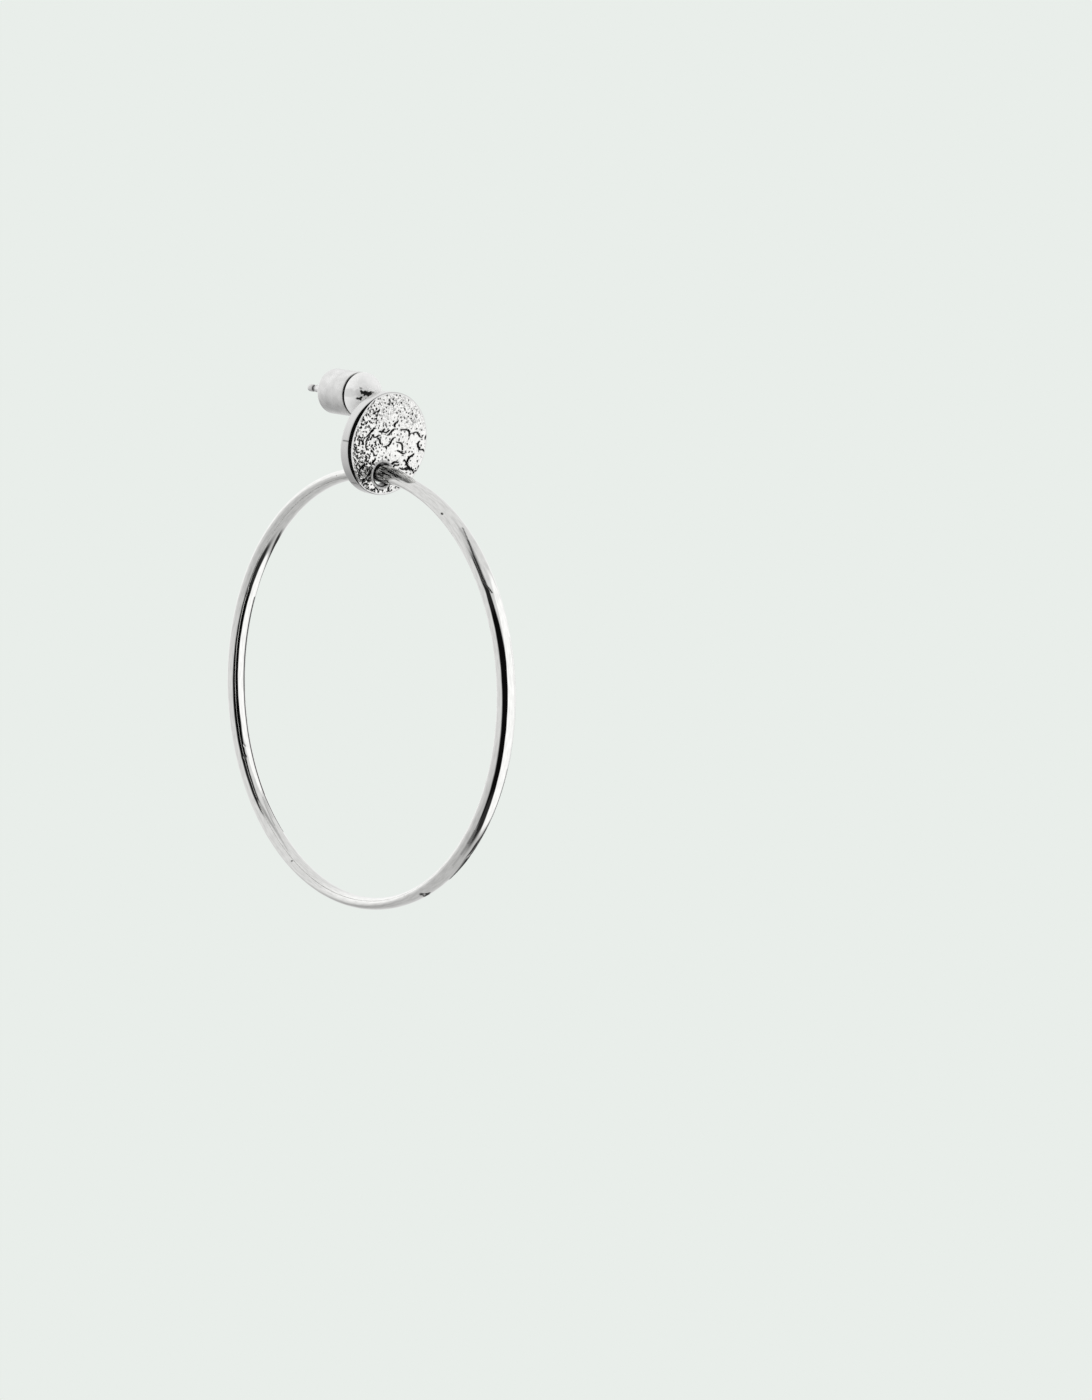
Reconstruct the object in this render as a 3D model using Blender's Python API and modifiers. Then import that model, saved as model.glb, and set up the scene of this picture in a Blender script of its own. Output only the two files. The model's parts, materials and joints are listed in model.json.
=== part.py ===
"""Hoop earring: a cast disc on an ear post, a hoop that hangs through it, and a bullet clutch.

Metres, +Z up. The post lies along +Y and the disc faces -Y. The origin is on the post's axis, at the
disc's flat back, where the earring meets the front of the ear lobe. The hoop lies in the YZ plane.
"""
import math

import bmesh
import bpy
import numpy as np
from mathutils import Matrix, Vector

MM = 0.001

# Hoop: one closed ring of flattened wire, thin across the ring and wide along its axis
HOOP_RADIUS = 23.3 * MM
WIRE_THICKNESS = 1.30 * MM
WIRE_WIDTH = 2.25 * MM
HOOP_SEGMENTS = 96
WIRE_SEGMENTS = 16

# Disc: a slightly oval hand-cut plate, whose long axis leans towards +X
DISC_LONG_RADIUS = 5.75 * MM
DISC_SHORT_RADIUS = 5.25 * MM
DISC_LEAN = math.radians(36.0)
DISC_SHIFT = 0.50 * MM
DISC_THICKNESS = 1.30 * MM
DISC_EDGE_ROUNDING = 0.14 * MM
DISC_SEGMENTS = 72

# Cast relief on the disc's front, raised above the plate
RELIEF_HEIGHT = 0.20 * MM
RELIEF_PITCH = 1.25 * MM
RELIEF_SAMPLES_PER_PITCH = 4
RELIEF_WAVES = 14
RELIEF_SEED = 11

# Hole for the hoop, near the disc's lower edge
HOLE_CLEARANCE = 0.275 * MM
HOLE_WEB = 0.85 * MM
HOLE_SEGMENTS = 36

# Ear post, soldered to the disc's back close under its upper edge
POST_RADIUS = 0.40 * MM
POST_EDGE_MARGIN = 0.19 * MM
POST_BEYOND_CLUTCH = 4.20 * MM
POST_GROOVE_DEPTH = 0.09 * MM
POST_GROOVE_WIDTH = 0.45 * MM
POST_GROOVE_FROM_TIP = 0.75 * MM
SOLDER_RADIUS = 0.14 * MM
POST_SEGMENTS = 20

# Clutch: a dome that faces the lobe, seated by a spigot in a barrel, both bored for the post
CLUTCH_STANDOFF = 1.20 * MM
CLUTCH_RADIUS = 2.45 * MM
DOME_LENGTH = 2.00 * MM
BARREL_LENGTH = 4.60 * MM
BARREL_WALL = 0.42 * MM
BARREL_END_WALL = 0.90 * MM
BARREL_END_ROUNDING = 0.38 * MM
CLUTCH_EDGE_BEVEL = 0.06 * MM
SEAM_GAP = 0.14 * MM
SPIGOT_LENGTH = 2.40 * MM
SPIGOT_CLEARANCE = 0.10 * MM
BORE_CLEARANCE = 0.10 * MM
CLUTCH_SEGMENTS = 48
ARC_STEPS = 5
DOME_STEPS = 9

# What cutters reach past the faces that they cut
OVERCUT = 0.50 * MM


def disc_half_chord(offset: float) -> tuple:
    """Lowest and highest point of the disc, from its centre, on the vertical line at x = offset."""
    c, s = math.cos(DISC_LEAN), math.sin(DISC_LEAN)
    long2, short2 = DISC_LONG_RADIUS ** 2, DISC_SHORT_RADIUS ** 2
    a = c * c / long2 + s * s / short2
    b = 2.0 * offset * s * c * (1.0 / long2 - 1.0 / short2)
    k = offset ** 2 * (s * s / long2 + c * c / short2) - 1.0
    root = math.sqrt(b * b - 4.0 * a * k)
    return (-b - root) / (2.0 * a), (-b + root) / (2.0 * a)


# Worked out from the dimensions above
POST_INSET = POST_RADIUS + POST_EDGE_MARGIN
LINE_BOTTOM, LINE_TOP = disc_half_chord(-DISC_SHIFT)
DISC_CENTRE = Vector((DISC_SHIFT, 0.0, POST_INSET - LINE_TOP))
HOLE_RADIUS = max(WIRE_WIDTH, WIRE_THICKNESS) / 2.0 + HOLE_CLEARANCE
HOLE_Z = DISC_CENTRE.z + LINE_BOTTOM + HOLE_WEB + HOLE_RADIUS
HOLE_CENTRE = Vector((0.0, -DISC_THICKNESS / 2.0, HOLE_Z))

DOME_NOSE_Y = CLUTCH_STANDOFF
SEAM_Y = DOME_NOSE_Y + DOME_LENGTH
BARREL_END_Y = SEAM_Y + BARREL_LENGTH
POST_TIP_Y = BARREL_END_Y + POST_BEYOND_CLUTCH
BORE_RADIUS = POST_RADIUS + BORE_CLEARANCE
BARREL_INNER_RADIUS = CLUTCH_RADIUS - BARREL_WALL
SPIGOT_RADIUS = BARREL_INNER_RADIUS - SPIGOT_CLEARANCE


def clear_scene() -> None:
    """Remove every object that the file opened with."""
    for obj in list(bpy.data.objects):
        bpy.data.objects.remove(obj, do_unlink=True)


def new_collection(name: str) -> bpy.types.Collection:
    """Make a collection in the scene."""
    collection = bpy.data.collections.new(name)
    bpy.context.scene.collection.children.link(collection)
    return collection


def metal(name: str, colour: tuple, roughness: float) -> bpy.types.Material:
    """Make a metal with one colour and one roughness."""
    material = bpy.data.materials.new(name)
    material.use_nodes = True
    shader = material.node_tree.nodes["Principled BSDF"]
    shader.inputs["Base Color"].default_value = (*colour, 1.0)
    shader.inputs["Metallic"].default_value = 1.0
    shader.inputs["Roughness"].default_value = roughness
    return material


def place(obj: bpy.types.Object, name: str, collection: bpy.types.Collection) -> bpy.types.Object:
    """Name an object and keep it in one collection only."""
    obj.name = name
    obj.data.name = name
    for owner in list(obj.users_collection):
        owner.objects.unlink(obj)
    collection.objects.link(obj)
    return obj


def apply_transform(obj: bpy.types.Object, matrix: Matrix) -> None:
    """Turn and scale the mesh itself and leave its object unturned."""
    obj.data.transform(matrix)
    obj.matrix_world = Matrix.Identity(4)


def mark_cutter(obj: bpy.types.Object) -> None:
    """Show a cutter as wires and keep it out of the model."""
    obj.hide_render = True
    obj.display_type = "WIRE"


def finish(obj: bpy.types.Object, material: bpy.types.Material, angle: float = 35.0) -> None:
    """Give an object its one material and smooth shading with sharp edges kept."""
    obj.data.materials.clear()
    obj.data.materials.append(material)
    obj.data.shade_smooth()
    obj.data.set_sharp_from_angle(angle=math.radians(angle))


def boolean(obj: bpy.types.Object, operation: str, other: bpy.types.Object) -> None:
    """Add an exact Boolean modifier."""
    modifier = obj.modifiers.new(f"{operation.lower()}_{other.name}", "BOOLEAN")
    modifier.operation = operation
    modifier.solver = "EXACT"
    modifier.object = other


def arc(centre: tuple, radii: tuple, start: float, end: float, steps: int) -> list:
    """Points of an elliptic arc in a profile, as (radius, along) pairs, angles in degrees."""
    points = []
    for i in range(steps + 1):
        angle = math.radians(start + (end - start) * i / steps)
        points.append((centre[0] + radii[0] * math.cos(angle), centre[1] + radii[1] * math.sin(angle)))
    return points


def turned(name: str, profile: list, closed: bool, segments: int,
           collection: bpy.types.Collection) -> bpy.types.Object:
    """Turn a profile of (radius, along) pairs about the Y axis with a Screw modifier.

    The profile runs from its greatest height along the axis down its outer side. A closed profile
    goes on up its bore to where it started.
    """
    mesh = bpy.data.meshes.new(name)
    points = [(radius, 0.0, along) for radius, along in profile]
    edges = [(i, i + 1) for i in range(len(points) - 1)]
    if closed:
        edges.append((len(points) - 1, 0))
    mesh.from_pydata(points, edges, [])
    obj = bpy.data.objects.new(name, mesh)
    collection.objects.link(obj)
    screw = obj.modifiers.new("turn", "SCREW")
    screw.axis = "Z"
    screw.angle = math.radians(360.0)
    screw.steps = segments
    screw.render_steps = segments
    screw.use_merge_vertices = True
    screw.merge_threshold = 0.001 * MM
    screw.use_smooth_shade = True
    obj.rotation_euler = (math.radians(-90.0), 0.0, 0.0)
    return obj


def build_hoop(parts: bpy.types.Collection, material: bpy.types.Material) -> None:
    """The hoop: a torus widened along its own axis, hung at the middle of the disc's hole."""
    bpy.ops.mesh.primitive_torus_add(
        major_radius=HOOP_RADIUS, minor_radius=WIRE_THICKNESS / 2.0,
        major_segments=HOOP_SEGMENTS, minor_segments=WIRE_SEGMENTS)
    hoop = place(bpy.context.object, "hoop", parts)
    widen = Matrix.Scale(WIRE_WIDTH / WIRE_THICKNESS, 4, Vector((0.0, 0.0, 1.0)))
    apply_transform(hoop, Matrix.Rotation(math.radians(90.0), 4, "Y") @ widen)
    finish(hoop, material)
    pivot = bpy.data.objects.new("hoop_pivot", None)
    pivot.empty_display_size = HOLE_RADIUS
    pivot.location = HOLE_CENTRE
    parts.objects.link(pivot)
    hoop.parent = pivot
    hoop.location = (0.0, 0.0, -HOOP_RADIUS)


def relief_height(x: np.ndarray, z: np.ndarray) -> np.ndarray:
    """Height of the cast relief, from 0 to RELIEF_HEIGHT.

    A slow field is summed from plane waves of the relief's pitch in seeded directions. The relief
    is highest along the field's own level lines, so it forms short winding ridges.
    """
    draw = np.random.default_rng(RELIEF_SEED)
    field = np.zeros_like(x)
    for _ in range(RELIEF_WAVES):
        heading = draw.uniform(0.0, 2.0 * np.pi)
        phase = draw.uniform(0.0, 2.0 * np.pi)
        pitch = RELIEF_PITCH * draw.uniform(0.85, 1.6)
        field += np.sin(2.0 * np.pi * (x * np.cos(heading) + z * np.sin(heading)) / pitch + phase)
    field /= math.sqrt(RELIEF_WAVES / 2.0)
    ridges = np.exp(-(field / 0.75) ** 2)
    return RELIEF_HEIGHT * ridges


def build_relief_block(cutters: bpy.types.Collection) -> bpy.types.Object:
    """A block whose front carries the relief, deeper than the disc and wider than it all round."""
    side = 2.0 * (max(DISC_LONG_RADIUS, DISC_SHORT_RADIUS) + OVERCUT)
    cells = round(side / RELIEF_PITCH * RELIEF_SAMPLES_PER_PITCH)
    bpy.ops.mesh.primitive_grid_add(x_subdivisions=cells, y_subdivisions=cells, size=side)
    block = place(bpy.context.object, "relief_block", cutters)
    mesh = block.data
    sheet = bmesh.new()
    sheet.from_mesh(mesh)
    deep = bmesh.ops.extrude_face_region(sheet, geom=sheet.faces[:])
    raised = [v for v in deep["geom"] if isinstance(v, bmesh.types.BMVert)]
    x = np.array([v.co.x for v in raised])
    z = np.array([v.co.y for v in raised])
    heights = relief_height(x, z)
    for vert, height in zip(raised, heights):
        vert.co.z = DISC_THICKNESS + height
    for vert in set(sheet.verts) - set(raised):
        vert.co.z = -OVERCUT
    bmesh.ops.recalc_face_normals(sheet, faces=sheet.faces)
    sheet.to_mesh(mesh)
    sheet.free()
    upright = Matrix.Rotation(math.radians(90.0), 4, "X")
    apply_transform(block, Matrix.Translation(DISC_CENTRE) @ upright)
    mark_cutter(block)
    return block


def build_plate(parts: bpy.types.Collection) -> bpy.types.Object:
    """The oval plate, as thick as the disc with its highest relief, with rounded edges."""
    depth = DISC_THICKNESS + RELIEF_HEIGHT
    bpy.ops.mesh.primitive_cylinder_add(vertices=DISC_SEGMENTS, radius=1.0, depth=depth)
    plate = place(bpy.context.object, "disc_stud", parts)
    oval = Matrix.Diagonal((DISC_SHORT_RADIUS, DISC_LONG_RADIUS, 1.0, 1.0))
    lean = Matrix.Rotation(-DISC_LEAN, 4, "Z")
    upright = Matrix.Rotation(math.radians(90.0), 4, "X")
    middle = Matrix.Translation(DISC_CENTRE + Vector((0.0, -depth / 2.0, 0.0)))
    apply_transform(plate, middle @ upright @ lean @ oval)
    bevel = plate.modifiers.new("edge_rounding", "BEVEL")
    bevel.width = DISC_EDGE_ROUNDING
    bevel.segments = 2
    bevel.limit_method = "ANGLE"
    bevel.angle_limit = math.radians(40.0)
    return plate


def build_post(cutters: bpy.types.Collection) -> bpy.types.Object:
    """The ear post: a rod with a round tip, a friction groove and a small fillet of solder."""
    groove_top = POST_TIP_Y - POST_GROOVE_FROM_TIP
    groove_bottom = groove_top - POST_GROOVE_WIDTH
    groove_radius = POST_RADIUS - POST_GROOVE_DEPTH
    profile = arc((0.0, POST_TIP_Y - POST_RADIUS), (POST_RADIUS, POST_RADIUS), 90.0, 0.0, ARC_STEPS)
    profile[0] = (0.0, POST_TIP_Y)
    profile += [
        (POST_RADIUS, groove_top),
        (groove_radius, groove_top - POST_GROOVE_DEPTH),
        (groove_radius, groove_bottom + POST_GROOVE_DEPTH),
        (POST_RADIUS, groove_bottom),
    ]
    fillet_centre = (POST_RADIUS + SOLDER_RADIUS, SOLDER_RADIUS)
    profile += arc(fillet_centre, (SOLDER_RADIUS, SOLDER_RADIUS), 180.0, 270.0, ARC_STEPS)
    root = -DISC_THICKNESS / 2.0
    profile += [(POST_RADIUS + SOLDER_RADIUS, root), (0.0, root)]
    post = turned("post", profile, False, POST_SEGMENTS, cutters)
    mark_cutter(post)
    return post


def build_hole_cutter(cutters: bpy.types.Collection) -> bpy.types.Object:
    """The cutter of the hoop's hole, through the plate and its relief."""
    depth = DISC_THICKNESS + 2.0 * (RELIEF_HEIGHT + OVERCUT)
    bpy.ops.mesh.primitive_cylinder_add(vertices=HOLE_SEGMENTS, radius=HOLE_RADIUS, depth=depth)
    cutter = place(bpy.context.object, "hole_cutter", cutters)
    upright = Matrix.Rotation(math.radians(90.0), 4, "X")
    apply_transform(cutter, Matrix.Translation(HOLE_CENTRE) @ upright)
    mark_cutter(cutter)
    return cutter


def build_disc_stud(parts: bpy.types.Collection, cutters: bpy.types.Collection,
                    material: bpy.types.Material) -> None:
    """The disc and its post, soldered into one solid."""
    plate = build_plate(parts)
    boolean(plate, "INTERSECT", build_relief_block(cutters))
    boolean(plate, "DIFFERENCE", build_hole_cutter(cutters))
    boolean(plate, "UNION", build_post(cutters))
    finish(plate, material, 30.0)


def build_dome(parts: bpy.types.Collection, material: bpy.types.Material) -> bpy.types.Object:
    """The clutch's dome: half an egg with a spigot behind it and a bore right through."""
    shoulder = SEAM_Y - SEAM_GAP / 2.0
    spigot_end = SEAM_Y + SPIGOT_LENGTH
    nose_angle = math.degrees(math.acos(BORE_RADIUS / CLUTCH_RADIUS))
    length = shoulder - CLUTCH_EDGE_BEVEL - DOME_NOSE_Y
    profile = [
        (BORE_RADIUS, spigot_end),
        (SPIGOT_RADIUS - CLUTCH_EDGE_BEVEL, spigot_end),
        (SPIGOT_RADIUS, spigot_end - CLUTCH_EDGE_BEVEL),
        (SPIGOT_RADIUS, shoulder),
        (CLUTCH_RADIUS - CLUTCH_EDGE_BEVEL, shoulder),
    ]
    rim = (0.0, shoulder - CLUTCH_EDGE_BEVEL)
    profile += arc(rim, (CLUTCH_RADIUS, length), 0.0, -nose_angle, DOME_STEPS)
    dome = turned("clutch_dome", profile, True, CLUTCH_SEGMENTS, parts)
    finish(dome, material)
    return dome


def build_barrel(parts: bpy.types.Collection, material: bpy.types.Material) -> bpy.types.Object:
    """The clutch's barrel: a cup with its mouth at the seam and a bored end wall."""
    mouth = SEAM_Y + SEAM_GAP / 2.0
    corner = (CLUTCH_RADIUS - BARREL_END_ROUNDING, BARREL_END_Y - BARREL_END_ROUNDING)
    rounding = (BARREL_END_ROUNDING, BARREL_END_ROUNDING)
    inner_end = BARREL_END_Y - BARREL_END_WALL
    profile = [(BORE_RADIUS, BARREL_END_Y)]
    profile += arc(corner, rounding, 90.0, 0.0, ARC_STEPS)
    profile += [
        (CLUTCH_RADIUS, mouth + CLUTCH_EDGE_BEVEL),
        (CLUTCH_RADIUS - CLUTCH_EDGE_BEVEL, mouth),
        (BARREL_INNER_RADIUS, mouth),
        (BARREL_INNER_RADIUS, inner_end),
        (BORE_RADIUS, inner_end),
    ]
    barrel = turned("clutch_barrel", profile, True, CLUTCH_SEGMENTS, parts)
    finish(barrel, material)
    return barrel


def build_clutch(parts: bpy.types.Collection, material: bpy.types.Material) -> None:
    """The clutch's two pieces, carried by one empty on the post's axis."""
    slide = bpy.data.objects.new("clutch_slide", None)
    slide.empty_display_size = CLUTCH_RADIUS
    slide.location = (0.0, SEAM_Y, 0.0)
    parts.objects.link(slide)
    for piece in (build_dome(parts, material), build_barrel(parts, material)):
        piece.parent = slide
        piece.matrix_parent_inverse = Matrix.Translation((0.0, -SEAM_Y, 0.0))


def main() -> None:
    """Build the earring."""
    clear_scene()
    parts = new_collection("hoop_earring")
    cutters = new_collection("cutters")
    build_hoop(parts, metal("polished_wire", (0.86, 0.86, 0.85), 0.08))
    build_disc_stud(parts, cutters, metal("cast_disc", (0.88, 0.88, 0.87), 0.16))
    build_clutch(parts, metal("clutch_metal", (0.84, 0.84, 0.84), 0.12))


main()
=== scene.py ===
"""Looks of a hoop earring: a cast silver disc on an ear post, a wire hoop and a bullet clutch.

Metres, +Z up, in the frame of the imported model. The post lies along +Y and the disc faces -Y. The
hoop hangs in the YZ plane, through the hole near the disc's lower edge.
"""
import json
import logging
import math
from dataclasses import dataclass
from enum import Enum

import bmesh
import bpy
import numpy as np
from mathutils import Matrix, Vector

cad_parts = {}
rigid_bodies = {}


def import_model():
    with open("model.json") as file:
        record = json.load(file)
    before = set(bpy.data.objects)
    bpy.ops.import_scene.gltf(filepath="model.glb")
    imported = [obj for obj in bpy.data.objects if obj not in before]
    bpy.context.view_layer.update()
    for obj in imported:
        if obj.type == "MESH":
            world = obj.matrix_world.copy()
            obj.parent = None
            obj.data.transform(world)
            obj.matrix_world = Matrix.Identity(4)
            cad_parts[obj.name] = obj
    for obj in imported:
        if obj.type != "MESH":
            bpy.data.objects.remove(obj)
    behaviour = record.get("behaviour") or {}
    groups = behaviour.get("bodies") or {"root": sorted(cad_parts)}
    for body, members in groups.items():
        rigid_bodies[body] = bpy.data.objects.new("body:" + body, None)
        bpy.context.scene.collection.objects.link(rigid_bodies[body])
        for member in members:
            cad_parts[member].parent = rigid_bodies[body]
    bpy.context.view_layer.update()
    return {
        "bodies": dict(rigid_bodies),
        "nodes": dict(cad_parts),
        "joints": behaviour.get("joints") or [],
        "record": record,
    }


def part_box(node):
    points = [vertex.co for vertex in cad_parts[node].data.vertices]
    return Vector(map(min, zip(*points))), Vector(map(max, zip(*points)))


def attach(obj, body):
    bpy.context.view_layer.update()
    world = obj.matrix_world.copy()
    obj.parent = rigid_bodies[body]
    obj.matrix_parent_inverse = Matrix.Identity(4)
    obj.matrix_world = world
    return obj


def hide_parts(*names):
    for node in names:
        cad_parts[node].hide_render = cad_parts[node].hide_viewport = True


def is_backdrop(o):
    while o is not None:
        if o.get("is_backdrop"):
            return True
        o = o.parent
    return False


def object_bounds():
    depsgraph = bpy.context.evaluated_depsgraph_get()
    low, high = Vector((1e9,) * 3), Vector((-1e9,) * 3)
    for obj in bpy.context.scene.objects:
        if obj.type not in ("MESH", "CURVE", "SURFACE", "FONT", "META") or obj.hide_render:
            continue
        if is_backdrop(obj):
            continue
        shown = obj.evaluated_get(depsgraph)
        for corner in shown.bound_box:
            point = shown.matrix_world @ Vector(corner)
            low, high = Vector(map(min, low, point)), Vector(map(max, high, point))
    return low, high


LOG = logging.getLogger("hoop_earring")
MM = 0.001
FULL_TURN = 2.0 * math.pi
PAPER_COLOUR = "#E9EEEA"


def linear(hex_colour: str) -> tuple[float, ...]:
    """Turn an sRGB hex colour into linear light.

    Args:
        hex_colour: Six hex digits after a hash sign.

    Returns:
        Red, green and blue, each from 0 to 1, and 1 for opaque.
    """
    shares = [int(hex_colour[i:i + 2], 16) / 255.0 for i in (1, 3, 5)]
    return *(s / 12.92 if s <= 0.04045 else ((s + 0.055) / 1.055) ** 2.4 for s in shares), 1.0


def smooth_step(low: float, high: float, value: np.ndarray) -> np.ndarray:
    """Rise from 0 at low to 1 at high along 3t^2 - 2t^3.

    Args:
        low: Where the rise starts.
        high: Where the rise ends.
        value: What is compared with them.

    Returns:
        The height of the curve at each value.
    """
    t = np.clip((value - low) / (high - low), 0.0, 1.0)
    return t * t * (3.0 - 2.0 * t)


@dataclass(frozen=True)
class WaveField:
    """A random smooth field, summed from plane waves in seeded directions.

    The field is the sum of sin(2 pi (x cos a + z sin a) / pitch + phase) over the waves, divided by
    the square root of half their number, so its spread is about 1 whatever the number of waves.
    """

    seed: int
    pitch: float
    waves: int = 24
    spread: tuple[float, float] = (0.75, 1.5)

    def at(self, x: np.ndarray, z: np.ndarray) -> np.ndarray:
        """Sum the waves.

        Args:
            x: First coordinate of each point, in metres.
            z: Second coordinate of each point, in metres.

        Returns:
            The field at each point.
        """
        draw = np.random.default_rng(self.seed)
        heading = draw.uniform(0.0, FULL_TURN, self.waves)
        phase = draw.uniform(0.0, FULL_TURN, self.waves)
        pitch = self.pitch * draw.uniform(*self.spread, self.waves)
        along = x[..., None] * np.cos(heading) + z[..., None] * np.sin(heading)
        return np.sin(FULL_TURN * along / pitch + phase).sum(axis=-1) / math.sqrt(self.waves / 2.0)


def connect(tree: bpy.types.NodeTree, node: bpy.types.Node, inputs: dict) -> None:
    """Set or link a node's inputs.

    Args:
        tree: The node tree that holds the node.
        node: The node.
        inputs: Socket name or number to a value, or to the output socket that feeds it.
    """
    for name, value in inputs.items():
        if isinstance(value, bpy.types.NodeSocket):
            tree.links.new(value, node.inputs[name])
        else:
            node.inputs[name].default_value = value


def add_node(tree: bpy.types.NodeTree, kind: str, inputs: dict | None = None, output: str | None = None,
             **settings) -> bpy.types.NodeSocket | None:
    """Add a node, set it and link it.

    Args:
        tree: The node tree that takes the node.
        kind: The node's Blender type.
        inputs: What to set or link, as for connect.
        output: Name of the output to return, where the first one in use isn't the one wanted.
        settings: Properties of the node itself.

    Returns:
        The node's output socket, or None where it has none.
    """
    node = tree.nodes.new(kind)
    for name, value in settings.items():
        setattr(node, name, value)
    connect(tree, node, inputs or {})
    return node.outputs[output] if output else next((o for o in node.outputs if o.enabled), None)


def new_material(name: str) -> tuple[bpy.types.Material, bpy.types.Node]:
    """Make an empty node material.

    Args:
        name: The material's name.

    Returns:
        The material and its Principled BSDF, which is linked to the output.
    """
    material = bpy.data.materials.new(name)
    material.use_nodes = True
    return material, material.node_tree.nodes["Principled BSDF"]


@dataclass(frozen=True)
class PolishedWire:
    """Sterling silver wire, rolled flat and buffed along its length.

    The buffing gives the eye near mirror bands with faint lines along the wire, and handling leaves
    small specks and a duller stretch where the hoop rubs in its hole, darkened in streaks by the wear
    and by painted shade from the disc. Dark marks are matt: real specks, painted reflections along the
    wire and a painted shadow at the hole. Real buffing lines are finer, and are drawn this wide so that
    they show.
    """

    name: str = "buffed_silver_wire"
    colour: str = "#EDEDEB"
    # Dark colour for specks and wear, and for painted reflections and painted shade
    oxide_colour: str = "#131314"
    roughness: float = 0.035
    rubbed_roughness: float = 0.24
    stain_roughness: float = 0.6
    line_width_mm: float = 0.12
    line_length_mm: float = 9.0
    line_depth: float = 0.012 * MM
    line_strength: float = 0.09
    mottles_per_mm: tuple[float, float] = (0.9, 5.0)
    mottle_levels: tuple[float, float] = (0.25, 0.6)
    mottle_depth: float = 0.2
    speck_mm: float = 0.35
    speck_levels: tuple[float, float] = (0.22, 0.27)
    streaks_per_mm: tuple[float, float] = (0.7, 5.5)
    streak_tilt_deg: float = 9.0
    streak_levels: tuple[float, float] = (0.485, 0.565)
    streak_spread: tuple[float, float] = (-0.95, 0.2)
    streak_rise: float = 2.5

    def make(self) -> bpy.types.Material:
        """Build the material on the wire's own UV map, whose units are millimetres.

        Returns:
            The material.
        """
        material, shader = new_material(self.name)
        tree = material.node_tree
        uv = add_node(tree, "ShaderNodeUVMap", uv_map="along_wire")
        rubbed = add_node(tree, "ShaderNodeAttribute", output="Fac", attribute_name="rubbed")
        # Specks, painted reflections along the wire and a painted shadow at the hole
        stain = add_node(tree, "ShaderNodeAttribute", output="Fac", attribute_name="stain")
        grains = (
            ((1.0 / self.line_length_mm, 1.0 / self.line_width_mm, 1.0), 0.0, 3.0, 0.5),
            ((1.0 / self.speck_mm,) * 3, 0.0, 2.0, 0.5),
            ((*self.mottles_per_mm, 1.0), 0.0, 4.0, 0.5),
            ((*self.streaks_per_mm, 1.0), self.streak_tilt_deg, 3.0, 0.7),
        )
        levels = []
        for scale, tilt_deg, detail, fineness in grains:
            turn = (0.0, 0.0, math.radians(tilt_deg))
            at = add_node(tree, "ShaderNodeMapping", {"Vector": uv, "Rotation": turn, "Scale": scale})
            shape = {"Vector": at, "Scale": 1.0, "Detail": detail, "Roughness": fineness}
            levels.append(add_node(tree, "ShaderNodeTexNoise", shape))
        lines, specks, mottles, streaks = levels
        pits = add_node(tree, "ShaderNodeMapRange",
                        {"Value": specks, "From Min": self.speck_levels[0],
                         "From Max": self.speck_levels[1]}, interpolation_type="SMOOTHSTEP")
        mottling = add_node(tree, "ShaderNodeMapRange",
                            {"Value": mottles, "From Min": self.mottle_levels[0],
                             "From Max": self.mottle_levels[1], "To Min": self.mottle_depth, "To Max": 0.0})
        # Wear and painted shade from the disc darken the wire in streaks near the hole
        dull = self.wear(tree, streaks, rubbed)
        marked = add_node(tree, "ShaderNodeMath", {0: dull, 1: stain}, operation="MAXIMUM")
        darker = add_node(tree, "ShaderNodeMath", {0: marked, 1: mottling}, operation="MAXIMUM")
        shade = add_node(tree, "ShaderNodeMix",
                         {"Factor": darker, "A": linear(self.colour), "B": linear(self.oxide_colour)},
                         data_type="RGBA")
        rough = add_node(tree, "ShaderNodeMapRange",
                         {"Value": rubbed, "To Min": self.roughness, "To Max": self.rubbed_roughness})
        matt = add_node(tree, "ShaderNodeMapRange",
                        {"Value": stain, "To Min": rough, "To Max": self.stain_roughness})
        height = add_node(tree, "ShaderNodeMath", {0: lines, 1: pits}, operation="ADD")
        bump = add_node(tree, "ShaderNodeBump",
                        {"Height": height, "Strength": self.line_strength, "Distance": self.line_depth})
        connect(tree, shader, {"Base Color": shade, "Metallic": 1.0, "Roughness": matt, "Normal": bump})
        return material

    def wear(self, tree: bpy.types.NodeTree, streaks: bpy.types.NodeSocket,
             rubbed: bpy.types.NodeSocket) -> bpy.types.NodeSocket:
        """Break the worn and shaded stretch up into slanting streaks of wear and painted shade.

        Args:
            tree: The material's nodes.
            streaks: Level of the slanting noise.
            rubbed: How worn and shaded the wire is, from 0 to 1.

        Returns:
            How dark the wear and the painted shade are.
        """
        spread = add_node(tree, "ShaderNodeMapRange",
                          {"Value": streaks, "From Min": self.streak_levels[0],
                           "From Max": self.streak_levels[1], "To Min": self.streak_spread[0],
                           "To Max": self.streak_spread[1]})
        uneven = add_node(tree, "ShaderNodeMath", {0: rubbed, 1: spread}, operation="ADD")
        worn = add_node(tree, "ShaderNodeMath", {0: rubbed, 1: self.streak_rise}, operation="MULTIPLY",
                        use_clamp=True)
        return add_node(tree, "ShaderNodeMath", {0: uneven, 1: worn}, operation="MULTIPLY", use_clamp=True)


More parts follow.
